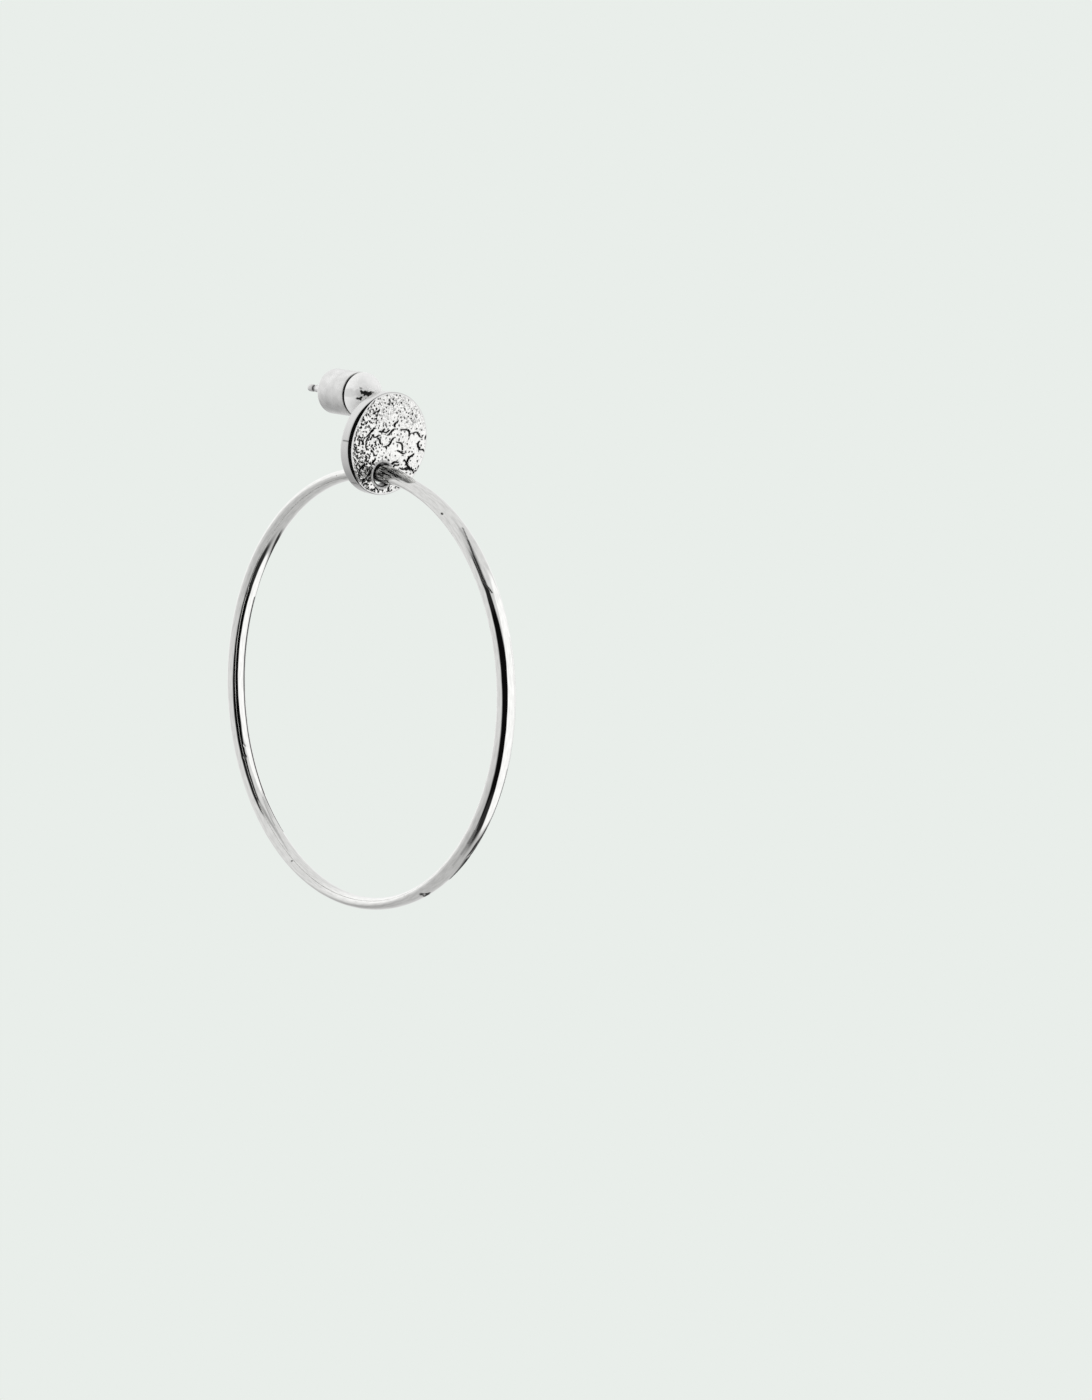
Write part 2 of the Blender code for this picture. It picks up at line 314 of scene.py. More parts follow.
@dataclass(frozen=True)
class CastSilver:
    """Sterling silver cast in a rough mould, its high points bright and its crevices dark.

    The casting gives the eye sharp sparkle on the raised grain. Oxide stays in the crevices, where
    the polishing wheel doesn't reach. The same dark colour paints shade on the hole's wall and in its
    mouth, and a shadow line along the rim's left edge. The lip round the hole is a painted highlight:
    a pale matt, which scatters most of the light and so takes a lower metallic share.
    """

    name: str = "cast_silver"
    colour: str = "#EAEAE8"
    grain_colour: str = "#969695"
    edge_colour: str = "#D2D2D1"
    # Dark colour for oxide in the crevices, and for painted shade in the hole and at the rim
    oxide_colour: str = "#121213"
    face_roughness: float = 0.14
    edge_roughness: float = 0.12
    # Painted highlight: a pale matt lip round the hole
    lip_colour: str = "#D9D9D8"
    lip_roughness: float = 0.6
    lip_metallic: float = 0.3
    grain_mm: float = 0.15
    grain_depth: float = 0.014 * MM
    grain_levels: tuple[float, float] = (0.56, 0.35)
    grain_strength: tuple[float, float] = (0.05, 0.8)

    def make(self) -> bpy.types.Material:
        """Build the material on Object coordinates and the disc's own attributes.

        Returns:
            The material.
        """
        material, shader = new_material(self.name)
        tree = material.node_tree
        place = add_node(tree, "ShaderNodeTexCoord", output="Object")
        # crevice is oxide in the cast grooves and pits, and painted shade in the hole and along the rim's
        # left edge
        crevice, face, coarse, lip = (
            add_node(tree, "ShaderNodeAttribute", output="Fac", attribute_name=name)
            for name in ("crevice", "cast_face", "coarse", "lip"))
        grain = add_node(tree, "ShaderNodeTexNoise",
                         {"Vector": place, "Scale": 1.0 / (self.grain_mm * MM), "Detail": 2.0})
        hollow = add_node(tree, "ShaderNodeMapRange",
                          {"Value": grain, "From Min": self.grain_levels[0],
                           "From Max": self.grain_levels[1]})
        cast = add_node(tree, "ShaderNodeMath", {0: coarse, 1: face}, operation="MULTIPLY")
        grained = add_node(tree, "ShaderNodeMath", {0: hollow, 1: cast}, operation="MULTIPLY")
        shade = linear(self.edge_colour)
        for factor, colour in ((face, self.colour), (grained, self.grain_colour), (lip, self.lip_colour),
                               (crevice, self.oxide_colour)):
            shade = add_node(tree, "ShaderNodeMix", {"Factor": factor, "A": shade, "B": linear(colour)},
                             data_type="RGBA")
        metallic = add_node(tree, "ShaderNodeMapRange",
                            {"Value": lip, "To Min": 1.0, "To Max": self.lip_metallic})
        rough = add_node(tree, "ShaderNodeMapRange",
                         {"Value": face, "To Min": self.edge_roughness, "To Max": self.face_roughness})
        scuffed = add_node(tree, "ShaderNodeMapRange",
                           {"Value": lip, "To Min": rough, "To Max": self.lip_roughness})
        strength = add_node(tree, "ShaderNodeMapRange",
                            {"Value": cast, "To Min": self.grain_strength[0],
                             "To Max": self.grain_strength[1]})
        bump = add_node(tree, "ShaderNodeBump",
                        {"Height": grain, "Strength": strength, "Distance": self.grain_depth})
        connect(tree, shader,
                {"Base Color": shade, "Metallic": metallic, "Roughness": scuffed, "Normal": bump})
        return material


@dataclass(frozen=True)
class SatinSilver:
    """Sterling silver turned on a lathe and tumbled to a soft satin shine.

    The tumbling gives the eye wide soft gradients with faint clouding. Down in the seam and the post's
    groove, where little light reaches, the metal is painted dark as shade, and the dome carries painted
    reflections beside the disc's rim. Pickling in acid leaves a frosty white skin, which scatters most
    of the light and so takes a lower metallic share.
    """

    name: str = "tumbled_silver"
    colour: str = "#EAEAE9"
    dull_colour: str = "#D8D8D7"
    # Colour of the painted shade down in the seam and the post's groove
    seam_colour: str = "#0E0E0F"
    roughness: float = 0.24
    metallic: float = 1.0
    cloud_mm: float = 1.1
    cloud_levels: tuple[float, float] = (0.35, 0.65)
    gloss_levels: tuple[float, float] = (0.3, 0.7)
    gloss_shares: tuple[float, float] = (0.8, 1.25)
    grain_mm: float = 0.16
    grain_depth: float = 0.006 * MM
    grain_strength: float = 0.3

    def make(self) -> bpy.types.Material:
        """Build the material on Object coordinates and the turned pieces' own attributes.

        Returns:
            The material.
        """
        material, shader = new_material(self.name)
        tree = material.node_tree
        place = add_node(tree, "ShaderNodeTexCoord", output="Object")
        # inside is painted shade down in the seam and the post's groove
        inside = add_node(tree, "ShaderNodeAttribute", output="Fac", attribute_name="inside")
        # Painted reflections on the dome beside the disc's rim
        stain = add_node(tree, "ShaderNodeAttribute", output="Fac", attribute_name="stain")
        dark = add_node(tree, "ShaderNodeMath", {0: inside, 1: stain}, operation="MAXIMUM")
        cloud = add_node(tree, "ShaderNodeTexNoise",
                         {"Vector": place, "Scale": 1.0 / (self.cloud_mm * MM), "Detail": 3.0})
        grain = add_node(tree, "ShaderNodeTexNoise",
                         {"Vector": place, "Scale": 1.0 / (self.grain_mm * MM), "Detail": 2.0})
        clouding = add_node(tree, "ShaderNodeMapRange",
                            {"Value": cloud, "From Min": self.cloud_levels[0],
                             "From Max": self.cloud_levels[1]})
        shade = linear(self.dull_colour)
        for factor, colour in ((clouding, self.colour), (dark, self.seam_colour)):
            shade = add_node(tree, "ShaderNodeMix", {"Factor": factor, "A": shade, "B": linear(colour)},
                             data_type="RGBA")
        rough = add_node(tree, "ShaderNodeMapRange",
                         {"Value": cloud, "From Min": self.gloss_levels[0],
                          "From Max": self.gloss_levels[1],
                          "To Min": self.roughness * self.gloss_shares[0],
                          "To Max": self.roughness * self.gloss_shares[1]})
        bump = add_node(tree, "ShaderNodeBump",
                        {"Height": grain, "Strength": self.grain_strength, "Distance": self.grain_depth})
        connect(tree, shader,
                {"Base Color": shade, "Metallic": self.metallic, "Roughness": rough, "Normal": bump})
        return material


def closed_grid_faces(rows: int, columns: int) -> np.ndarray:
    """Number the quads of a grid that closes on itself both ways.

    Args:
        rows: Points along the first direction.
        columns: Points along the second direction.

    Returns:
        One row of four point numbers for each quad.
    """
    i, j = np.meshgrid(np.arange(rows), np.arange(columns), indexing="ij")
    i_next, j_next = (i + 1) % rows, (j + 1) % columns
    corners = (i * columns + j, i_next * columns + j, i_next * columns + j_next, i * columns + j_next)
    return np.stack([c.ravel() for c in corners], axis=1)


def mesh_object(name: str, points: np.ndarray, faces: np.ndarray) -> bpy.types.Object:
    """Put worked out points and quads into a smooth mesh object at the origin.

    Args:
        name: The object's name.
        points: Point places, one row of three for each point, in metres.
        faces: Point numbers, one row of four for each quad.

    Returns:
        The object, linked to the scene.
    """
    mesh = bpy.data.meshes.new(name)
    mesh.vertices.add(len(points))
    mesh.vertices.foreach_set("co", points.astype(np.float32).ravel())
    mesh.loops.add(faces.size)
    mesh.loops.foreach_set("vertex_index", faces.astype(np.int32).ravel())
    mesh.polygons.add(len(faces))
    mesh.polygons.foreach_set("loop_start", np.arange(0, faces.size, 4, dtype=np.int32))
    mesh.update(calc_edges=True)
    mesh.shade_smooth()
    obj = bpy.data.objects.new(name, mesh)
    bpy.context.scene.collection.objects.link(obj)
    return obj


def set_attribute(obj: bpy.types.Object, name: str, values: np.ndarray) -> None:
    """Store one number for each point of an object's mesh."""
    layer = obj.data.attributes.new(name, "FLOAT", "POINT")
    layer.data.foreach_set("value", values.astype(np.float32).ravel())


def point_outward(obj: bpy.types.Object) -> None:
    """Turn a closed mesh's faces outward.

    Args:
        obj: The mesh's object.
    """
    shell = bmesh.new()
    shell.from_mesh(obj.data)
    bmesh.ops.recalc_face_normals(shell, faces=shell.faces)
    shell.to_mesh(obj.data)
    shell.free()


def arc(centre: tuple[float, float], radii: tuple[float, float], start: float, end: float,
        steps: int) -> np.ndarray:
    """Points along an elliptic arc.

    A point is the centre plus (first radius times cos angle, second radius times sin angle).

    Args:
        centre: The arc's centre.
        radii: Its two radii.
        start: Where it starts, in degrees.
        end: Where it ends, in degrees.
        steps: How many stretches it has.

    Returns:
        One row of two for each point, both ends included.
    """
    angle = np.radians(np.linspace(start, end, steps + 1))
    return np.stack([centre[0] + radii[0] * np.cos(angle), centre[1] + radii[1] * np.sin(angle)], axis=1)


def line(start: tuple[float, float], end: tuple[float, float], steps: int) -> np.ndarray:
    """Points along a straight stretch of a profile, both ends left out."""
    share = (np.arange(1, steps) / steps)[:, None]
    return np.asarray(start) * (1.0 - share) + np.asarray(end) * share


@dataclass(frozen=True)
class Dent:
    """A hollow in the hoop's wire.

    The surface sinks along its normal by depth times exp(-(distance / radius)^2), and a low lip of
    metal stands round it, as where a tool has slipped. Its place is in degrees round the ring and
    round the section, and its length stretches it along the ring.
    """

    ring_deg: float
    section_deg: float
    radius: float
    depth: float
    length: float = 1.0
    lip: float = 0.0


@dataclass(frozen=True)
class Stain:
    """A dark mark on the hoop's wire, from one place to another.

    A place is (ring angle, section angle) in degrees, and the radius is in millimetres. Its darkness
    falls as exp(-(distance / radius)^4) from the line between the two, measured on the unrolled
    surface. The specks are real marks, the long lines are painted reflections and the gap at the hole
    is a painted shadow. Marks on the real wire are finer, and are drawn this wide so that they show.
    """

    start: tuple[float, float]
    end: tuple[float, float]
    radius: float
    darkness: float


def distance_to_line(x: np.ndarray, y: np.ndarray, start: np.ndarray, end: np.ndarray) -> np.ndarray:
    """Distance of each point (x, y) from the stretch between two points."""
    way = end - start
    share = ((x - start[0]) * way[0] + (y - start[1]) * way[1]) / max(float(way @ way), 1e-18)
    share = np.clip(share, 0.0, 1.0)
    return np.hypot(x - start[0] - share * way[0], y - start[1] - share * way[1])


@dataclass
class Hoop:
    """The hoop of flattened wire.

    A point lies at centre + outward (R + h + b cos s) + X (w + a sin s), where R is the ring's
    radius, a and b are half the wire's width and thickness, and s is the angle round its section.
    The outward direction turns from +Z at the top of the ring towards -Y. The wire is left nearly
    round where it passes the hole, so b grows there and h lifts it, and w bows the front of the ring
    out of its plane.
    """

    thickness: float = 1.30 * MM
    ring_steps: int = 1280
    section_steps: int = 72
    crowding: float = 5.0
    waver: float = 0.010 * MM
    round_arc_deg: tuple[float, float] = (3.0, 15.0)
    round_half_thickness: float = 0.97 * MM
    round_lift: float = 0.13 * MM
    bow: float = 0.13 * MM
    spread: float = 0.08 * MM
    rubbed_arc_deg: tuple[float, float] = (7.0, 18.0)
    rubbed_behind_deg: float = 6.0
    underside: tuple[float, float] = (-0.20, 0.45)
    rubbed_under_start_deg: float = 1.5
    rubbed_under_end_deg: float = 5.5
    dent_lip_at: float = 1.7
    dent_lip_width: float = 0.45
    dents: tuple[Dent, ...] = (
        Dent(150.2, 345.0, 0.24 * MM, 0.15 * MM, 1.4, 0.03 * MM),
        Dent(57.1, 300.0, 0.30 * MM, 0.020 * MM, 2.5),
        Dent(290.9, 220.5, 0.25 * MM, 0.020 * MM, 2.5),
        Dent(243.4, 205.5, 0.22 * MM, 0.020 * MM),
        Dent(246.9, 189.0, 0.18 * MM, 0.020 * MM),
        Dent(31.0, 303.0, 0.10 * MM, 0.035 * MM),
        Dent(155.8, 265.5, 0.07 * MM, 0.030 * MM),
        Dent(207.2, 231.0, 0.08 * MM, 0.030 * MM),
        Dent(345.6, 268.5, 0.08 * MM, 0.030 * MM),
        Dent(135.7, 300.0, 0.25 * MM, 0.015 * MM, 2.0),
    )
    stains: tuple[Stain, ...] = tuple(Stain(*mark) for mark in (
        # Painted reflections: a dark line along the left inside, and fine streaks beside it
        ((219.0, 136.0), (232.0, 147.0), 0.10, 0.9),
        ((232.0, 145.0), (262.0, 139.0), 0.13, 1.0),
        ((262.0, 139.0), (289.0, 139.0), 0.16, 1.0),
        ((231.0, 172.0), (221.0, 184.0), 0.09, 0.4),
        ((221.0, 184.0), (211.0, 206.0), 0.07, 0.3),
        ((233.0, 160.0), (224.0, 166.0), 0.07, 0.35),
        # Painted reflection: a dark line along the right outer edge
        ((70.0, 36.0), (104.0, 42.0), 0.07, 0.3),
        ((104.0, 42.0), (122.0, 45.0), 0.09, 0.7),
        ((122.0, 45.0), (128.0, 38.0), 0.11, 0.9),
        ((128.0, 38.0), (133.0, 30.0), 0.15, 1.0),
        ((132.5, 33.0), (137.0, 40.0), 0.42, 1.0),
        ((137.0, 40.0), (141.0, 46.0), 0.42, 1.0),
        # Painted reflection: the tail of the mirrored dark band at the lower right
        ((122.0, 325.0), (126.5, 323.0), 0.16, 0.6),
        ((126.5, 323.0), (130.5, 322.0), 0.14, 0.42),
        ((130.5, 322.0), (135.0, 323.0), 0.13, 0.25),
        # Painted reflection: a dark jag and line at the upper right, with painted shading to its left
        ((54.5, 318.0), (56.6, 337.0), 0.09, 0.95),
        ((56.4, 337.0), (57.9, 348.0), 0.08, 0.95),
        ((37.4, 359.0), (41.8, 343.0), 0.07, 0.8),
        ((41.8, 343.0), (46.9, 328.0), 0.10, 0.95),
        ((46.9, 328.0), (54.0, 322.0), 0.13, 0.95),
        ((38.0, 338.0), (47.0, 308.0), 0.26, 0.2),
        # Painted shadow in the gap where the wire comes out of the hole
        ((1.6, 322.0), (0.9, 285.0), 0.10, 0.9),
        ((0.9, 285.0), (1.4, 243.0), 0.14, 1.0),
        ((1.4, 243.0), (2.9, 222.0), 0.22, 1.0),
        ((2.9, 222.0), (4.0, 200.0), 0.24, 1.0),
        # Specks
        ((30.9, 303.0), (31.2, 303.0), 0.13, 1.0),
        ((155.8, 265.5), (155.8, 265.5), 0.07, 0.8),
        ((207.2, 231.0), (207.2, 231.0), 0.12, 1.0),
        ((345.6, 268.5), (345.6, 268.5), 0.08, 0.8),
        ((243.0, 203.0), (244.0, 208.0), 0.09, 0.9),
        ((246.5, 187.0), (247.2, 195.0), 0.06, 0.8),
        # Dark marks in and round the pit
        ((150.1, 327.0), (150.4, 331.0), 0.27, 1.0),
        ((149.9, 328.0), (149.3, 345.0), 0.11, 0.95),
        ((149.8, 355.0), (150.0, 361.0), 0.22, 1.0),
        ((149.9, 358.0), (148.8, 354.0), 0.17, 1.0),
        ((150.5, 334.0), (151.5, 365.0), 0.09, 0.75),
        ((151.5, 365.0), (150.2, 362.0), 0.14, 0.9),
    ))
    finish: PolishedWire = PolishedWire()

    def measure(self) -> None:
        """Take the ring's centre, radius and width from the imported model."""
        low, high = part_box("hoop")
        self.centre = np.array((low + high) / 2.0)
        self.half_width = (high.x - low.x) / 2.0
        self.half_thickness = self.thickness / 2.0
        self.radius = (high.z - low.z) / 2.0 - self.half_thickness

    def dent_depth(self, ring: np.ndarray, section: np.ndarray) -> np.ndarray:
        """Add up how far each dent pushes the surface in.

        Args:
            ring: Angle round the ring of each point.
            section: Angle round the wire's section of each point.

        Returns:
            The depth at each point, in metres.
        """
        depth = np.zeros_like(ring)
        size = (self.half_width + self.half_thickness) / 2.0
        for dent in self.dents:
            off_ring = np.angle(np.exp(1j * (ring - math.radians(dent.ring_deg)))) * self.radius
            off_section = np.angle(np.exp(1j * (section - math.radians(dent.section_deg)))) * size
            distance = np.hypot(off_ring / dent.length, off_section) / dent.radius
            depth += dent.depth * np.exp(-distance ** 2)
            depth -= dent.lip * np.exp(-((distance - self.dent_lip_at) / self.dent_lip_width) ** 2)
        return depth

    def waver_depth(self, ring: np.ndarray, section: np.ndarray) -> np.ndarray:
        """Slow unevenness left by hand bending and buffing, a few waves each way."""
        waves = np.sin(23.0 * ring + 1.3) * np.sin(section + 0.7)
        waves += 0.7 * np.sin(41.0 * ring + 2.0 * section)
        waves += 0.5 * np.sin(67.0 * ring + 3.0 * section + 2.1)
        return self.waver * (waves + 2.2) / 4.4

    def build(self) -> bpy.types.Object:
        """Build the ring.

        Returns:
            The hoop's object, riding on its own body.
        """
        self.measure()
        turns = self.ring_turns()
        ring, section = np.meshgrid(
            turns, np.arange(self.section_steps) * FULL_TURN / self.section_steps, indexing="ij")
        outward = np.stack([np.zeros_like(ring), -np.sin(ring), np.cos(ring)], axis=-1)
        sideways = np.array([1.0, 0.0, 0.0])
        half_width, half_thickness, lift, bow = self.wire_section(ring)
        normal = outward * (half_width * np.cos(section))[..., None]
        normal = normal + sideways * (half_thickness * np.sin(section))[..., None]
        normal /= np.linalg.norm(normal, axis=-1, keepdims=True)
        points = self.centre + outward * (self.radius + lift + half_thickness * np.cos(section))[..., None]
        points = points + sideways * (bow + half_width * np.sin(section))[..., None]
        sink = self.dent_depth(ring, section) + self.waver_depth(ring, section)
        points -= normal * sink[..., None]
        faces = closed_grid_faces(self.ring_steps, self.section_steps)
        hoop = mesh_object("silver_hoop", points.reshape(-1, 3), faces)
        self.unwrap(hoop, faces, turns)
        # Wear, and painted shade from the disc, near the hole
        set_attribute(hoop, "rubbed", self.rubbed(ring, section))
        # Specks, painted reflections along the wire and a painted shadow at the hole
        set_attribute(hoop, "stain", self.stained(ring, section))
        point_outward(hoop)
        hoop.data.materials.append(self.finish.make())
        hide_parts("hoop")
        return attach(hoop, "hoop")

    def wire_section(self, ring: np.ndarray) -> tuple[np.ndarray, np.ndarray, np.ndarray, np.ndarray]:
        """Work out the wire's section, which is nearly round at the hole and bowed in front.

        Args:
            ring: Angle round the ring of each point.

        Returns:
            Half width, half thickness, lift and bow of the wire at each point.
        """
        off_top = np.degrees(np.abs(np.angle(np.exp(1j * ring))))
        near_hole = 1.0 - smooth_step(*self.round_arc_deg, off_top)
        in_front = smooth_step(0.0, 0.6, np.sin(ring))
        thicker = (self.round_half_thickness - self.half_thickness) * near_hole
        return (self.half_width + self.spread * in_front, self.half_thickness + thicker,
                self.round_lift * near_hole, self.bow * in_front)

    def ring_turns(self) -> np.ndarray:
        """Space the grid's rows, which crowd together at the dents so that they come out crisp.

        Returns:
            The angle of each row round the ring.
        """
        fine = np.linspace(0.0, FULL_TURN, 20001)
        crowd = np.ones_like(fine)
        for dent in self.dents:
            off = np.angle(np.exp(1j * (fine - math.radians(dent.ring_deg)))) * self.radius / dent.length
            crowd += self.crowding * np.exp(-(off / (2.5 * dent.radius)) ** 2)
        run = np.concatenate([[0.0], np.cumsum((crowd[1:] + crowd[:-1]) / 2.0)])
        return np.interp(np.arange(self.ring_steps) * run[-1] / self.ring_steps, run, fine)

    def stained(self, ring: np.ndarray, section: np.ndarray) -> np.ndarray:
        """How dark each point is marked, from 0 to 1: specks, painted reflections and a painted shadow.

        Args:
            ring: Angle round the ring of each point.
            section: Angle round the wire's section of each point.

        Returns:
            The darkness at each point.
        """
        size = (self.half_width + self.half_thickness) / 2.0
        dark = np.zeros_like(ring)
        for stain in self.stains:
            start = np.radians(np.array(stain.start)) * (self.radius, size)
            end = np.radians(np.array(stain.end)) * (self.radius, size)
            for round_it in (section, section + FULL_TURN):
                away = distance_to_line(ring * self.radius, round_it * size, start, end)
                dark = np.maximum(dark, stain.darkness * np.exp(-(away / (stain.radius * MM)) ** 4))
        return dark

    def rubbed(self, ring: np.ndarray, section: np.ndarray) -> np.ndarray:
        """How worn and shaded the wire is, from 1 inside the hole to 0 a few millimetres in front of it:
        real wear, with painted shade from the disc.

        The wear and the painted shade reach further on the upper side of the wire than underneath.

        Args:
            ring: Angle round the ring of each point.
            section: Angle round the wire's section of each point.

        Returns:
            The wear at each point.
        """
        degrees = np.degrees(np.angle(np.exp(1j * ring)))
        start, end = self.rubbed_arc_deg
        under = 1.0 - smooth_step(*self.underside, np.cos(section))
        sooner = self.rubbed_under_start_deg * under
        shorter = (end - self.rubbed_under_end_deg) * under
        front = 1.0 - smooth_step(start - sooner, end - shorter, degrees)
        behind = 1.0 - smooth_step(0.0, self.rubbed_behind_deg, -degrees)
        return np.where(degrees > 0.0, front, behind)

    def unwrap(self, hoop: bpy.types.Object, faces: np.ndarray, turns: np.ndarray) -> None:
        """Lay the wire flat in millimetres: along the ring, and round its section.

        Args:
            hoop: The ring's object.
            faces: Its quads, in the order of its grid.
            turns: Angle of each row of the grid.
        """
        rows, columns = self.ring_steps, self.section_steps
        i, j = faces // columns, faces % columns
        along = turns[i]
        round_it = j.astype(float)
        along[(i == 0) & (i.max(axis=1, keepdims=True) == rows - 1)] = FULL_TURN
        round_it[(j == 0) & (j.max(axis=1, keepdims=True) == columns - 1)] = columns
        girth = math.pi * (self.half_width + self.half_thickness)
        along *= self.radius / MM
        round_it *= girth / columns / MM
        layer = hoop.data.uv_layers.new(name="along_wire")
        layer.data.foreach_set("uv", np.stack([along, round_it], axis=-1).astype(np.float32).ravel())


@dataclass(frozen=True)
class Grooves:
    """Short winding grooves, scattered by a seed over a jittered grid.

    A groove starts at a grid point and walks in equal steps. Its heading is a random start plus
    swing times sin(2 pi (turns u + phase)) plus bend times u, where u runs from 0 to 1 along it. Its
    depth at a point is the greatest of exp(-(distance / width)^2) over its steps, tapered at both
    ends.
    """

    seed: int
    spacing: float
    length: tuple[float, float]
    width: tuple[float, float]
    steps: int = 26
    swing: float = 0.9
    bend: float = 1.1

    def walk(self, reach: float) -> tuple[np.ndarray, np.ndarray]:
        """Lay the grooves' paths.

        Args:
            reach: Half the side of the square that the grid fills.

        Returns:
            The paths, as grooves by steps by (x, z), and each groove's width.
        """
        draw = np.random.default_rng(self.seed)
        side = np.arange(-reach, reach, self.spacing)
        start = np.stack(np.meshgrid(side, side * 1.0), axis=-1).reshape(-1, 2)
        start[:, 0] += np.repeat(np.arange(len(side)) % 2, len(side)) * self.spacing / 2.0
        start += draw.uniform(-0.42, 0.42, start.shape) * self.spacing
        count = len(start)
        u = np.linspace(0.0, 1.0, self.steps)
        column = (count, 1)
        turns = draw.uniform(0.5, 1.3, column)
        phase = draw.uniform(0.0, 1.0, column)
        swing = self.swing * draw.uniform(0.4, 1.2, column)
        bend = self.bend * draw.uniform(-1.0, 1.0, column)
        heading = draw.uniform(0.0, FULL_TURN, column)
        heading = heading + swing * np.sin(FULL_TURN * (turns * u + phase)) + bend * u
        stride = draw.uniform(*self.length, column) / self.steps
        hop = np.stack([np.cos(heading), np.sin(heading)], axis=-1) * stride[..., None]
        return start[:, None] + np.cumsum(hop, axis=1), draw.uniform(*self.width, count)

    def at(self, x: np.ndarray, z: np.ndarray, reach: float) -> np.ndarray:
        """How deep in a groove each point is, from 0 to 1.

        Args:
            x: Sideways place of each point.
            z: Upward place of each point.
            reach: Half the side of the square that the grooves fill.

        Returns:
            The depth at each point.
        """
        paths, widths = self.walk(reach)
        taper = np.sin(math.pi * np.linspace(0.04, 0.96, self.steps)) ** 0.4
        deep = np.zeros_like(x)
        for path, width in zip(paths, widths):
            low, high = path.min(axis=0) - 3.0 * width, path.max(axis=0) + 3.0 * width
            near = (x > low[0]) & (x < high[0]) & (z > low[1]) & (z < high[1])
            away = np.hypot(x[near][:, None] - path[:, 0], z[near][:, None] - path[:, 1])
            here = (np.exp(-(away / width) ** 2) * taper).max(axis=1, initial=0.0)
            deep[near] = np.maximum(deep[near], here)
        return deep


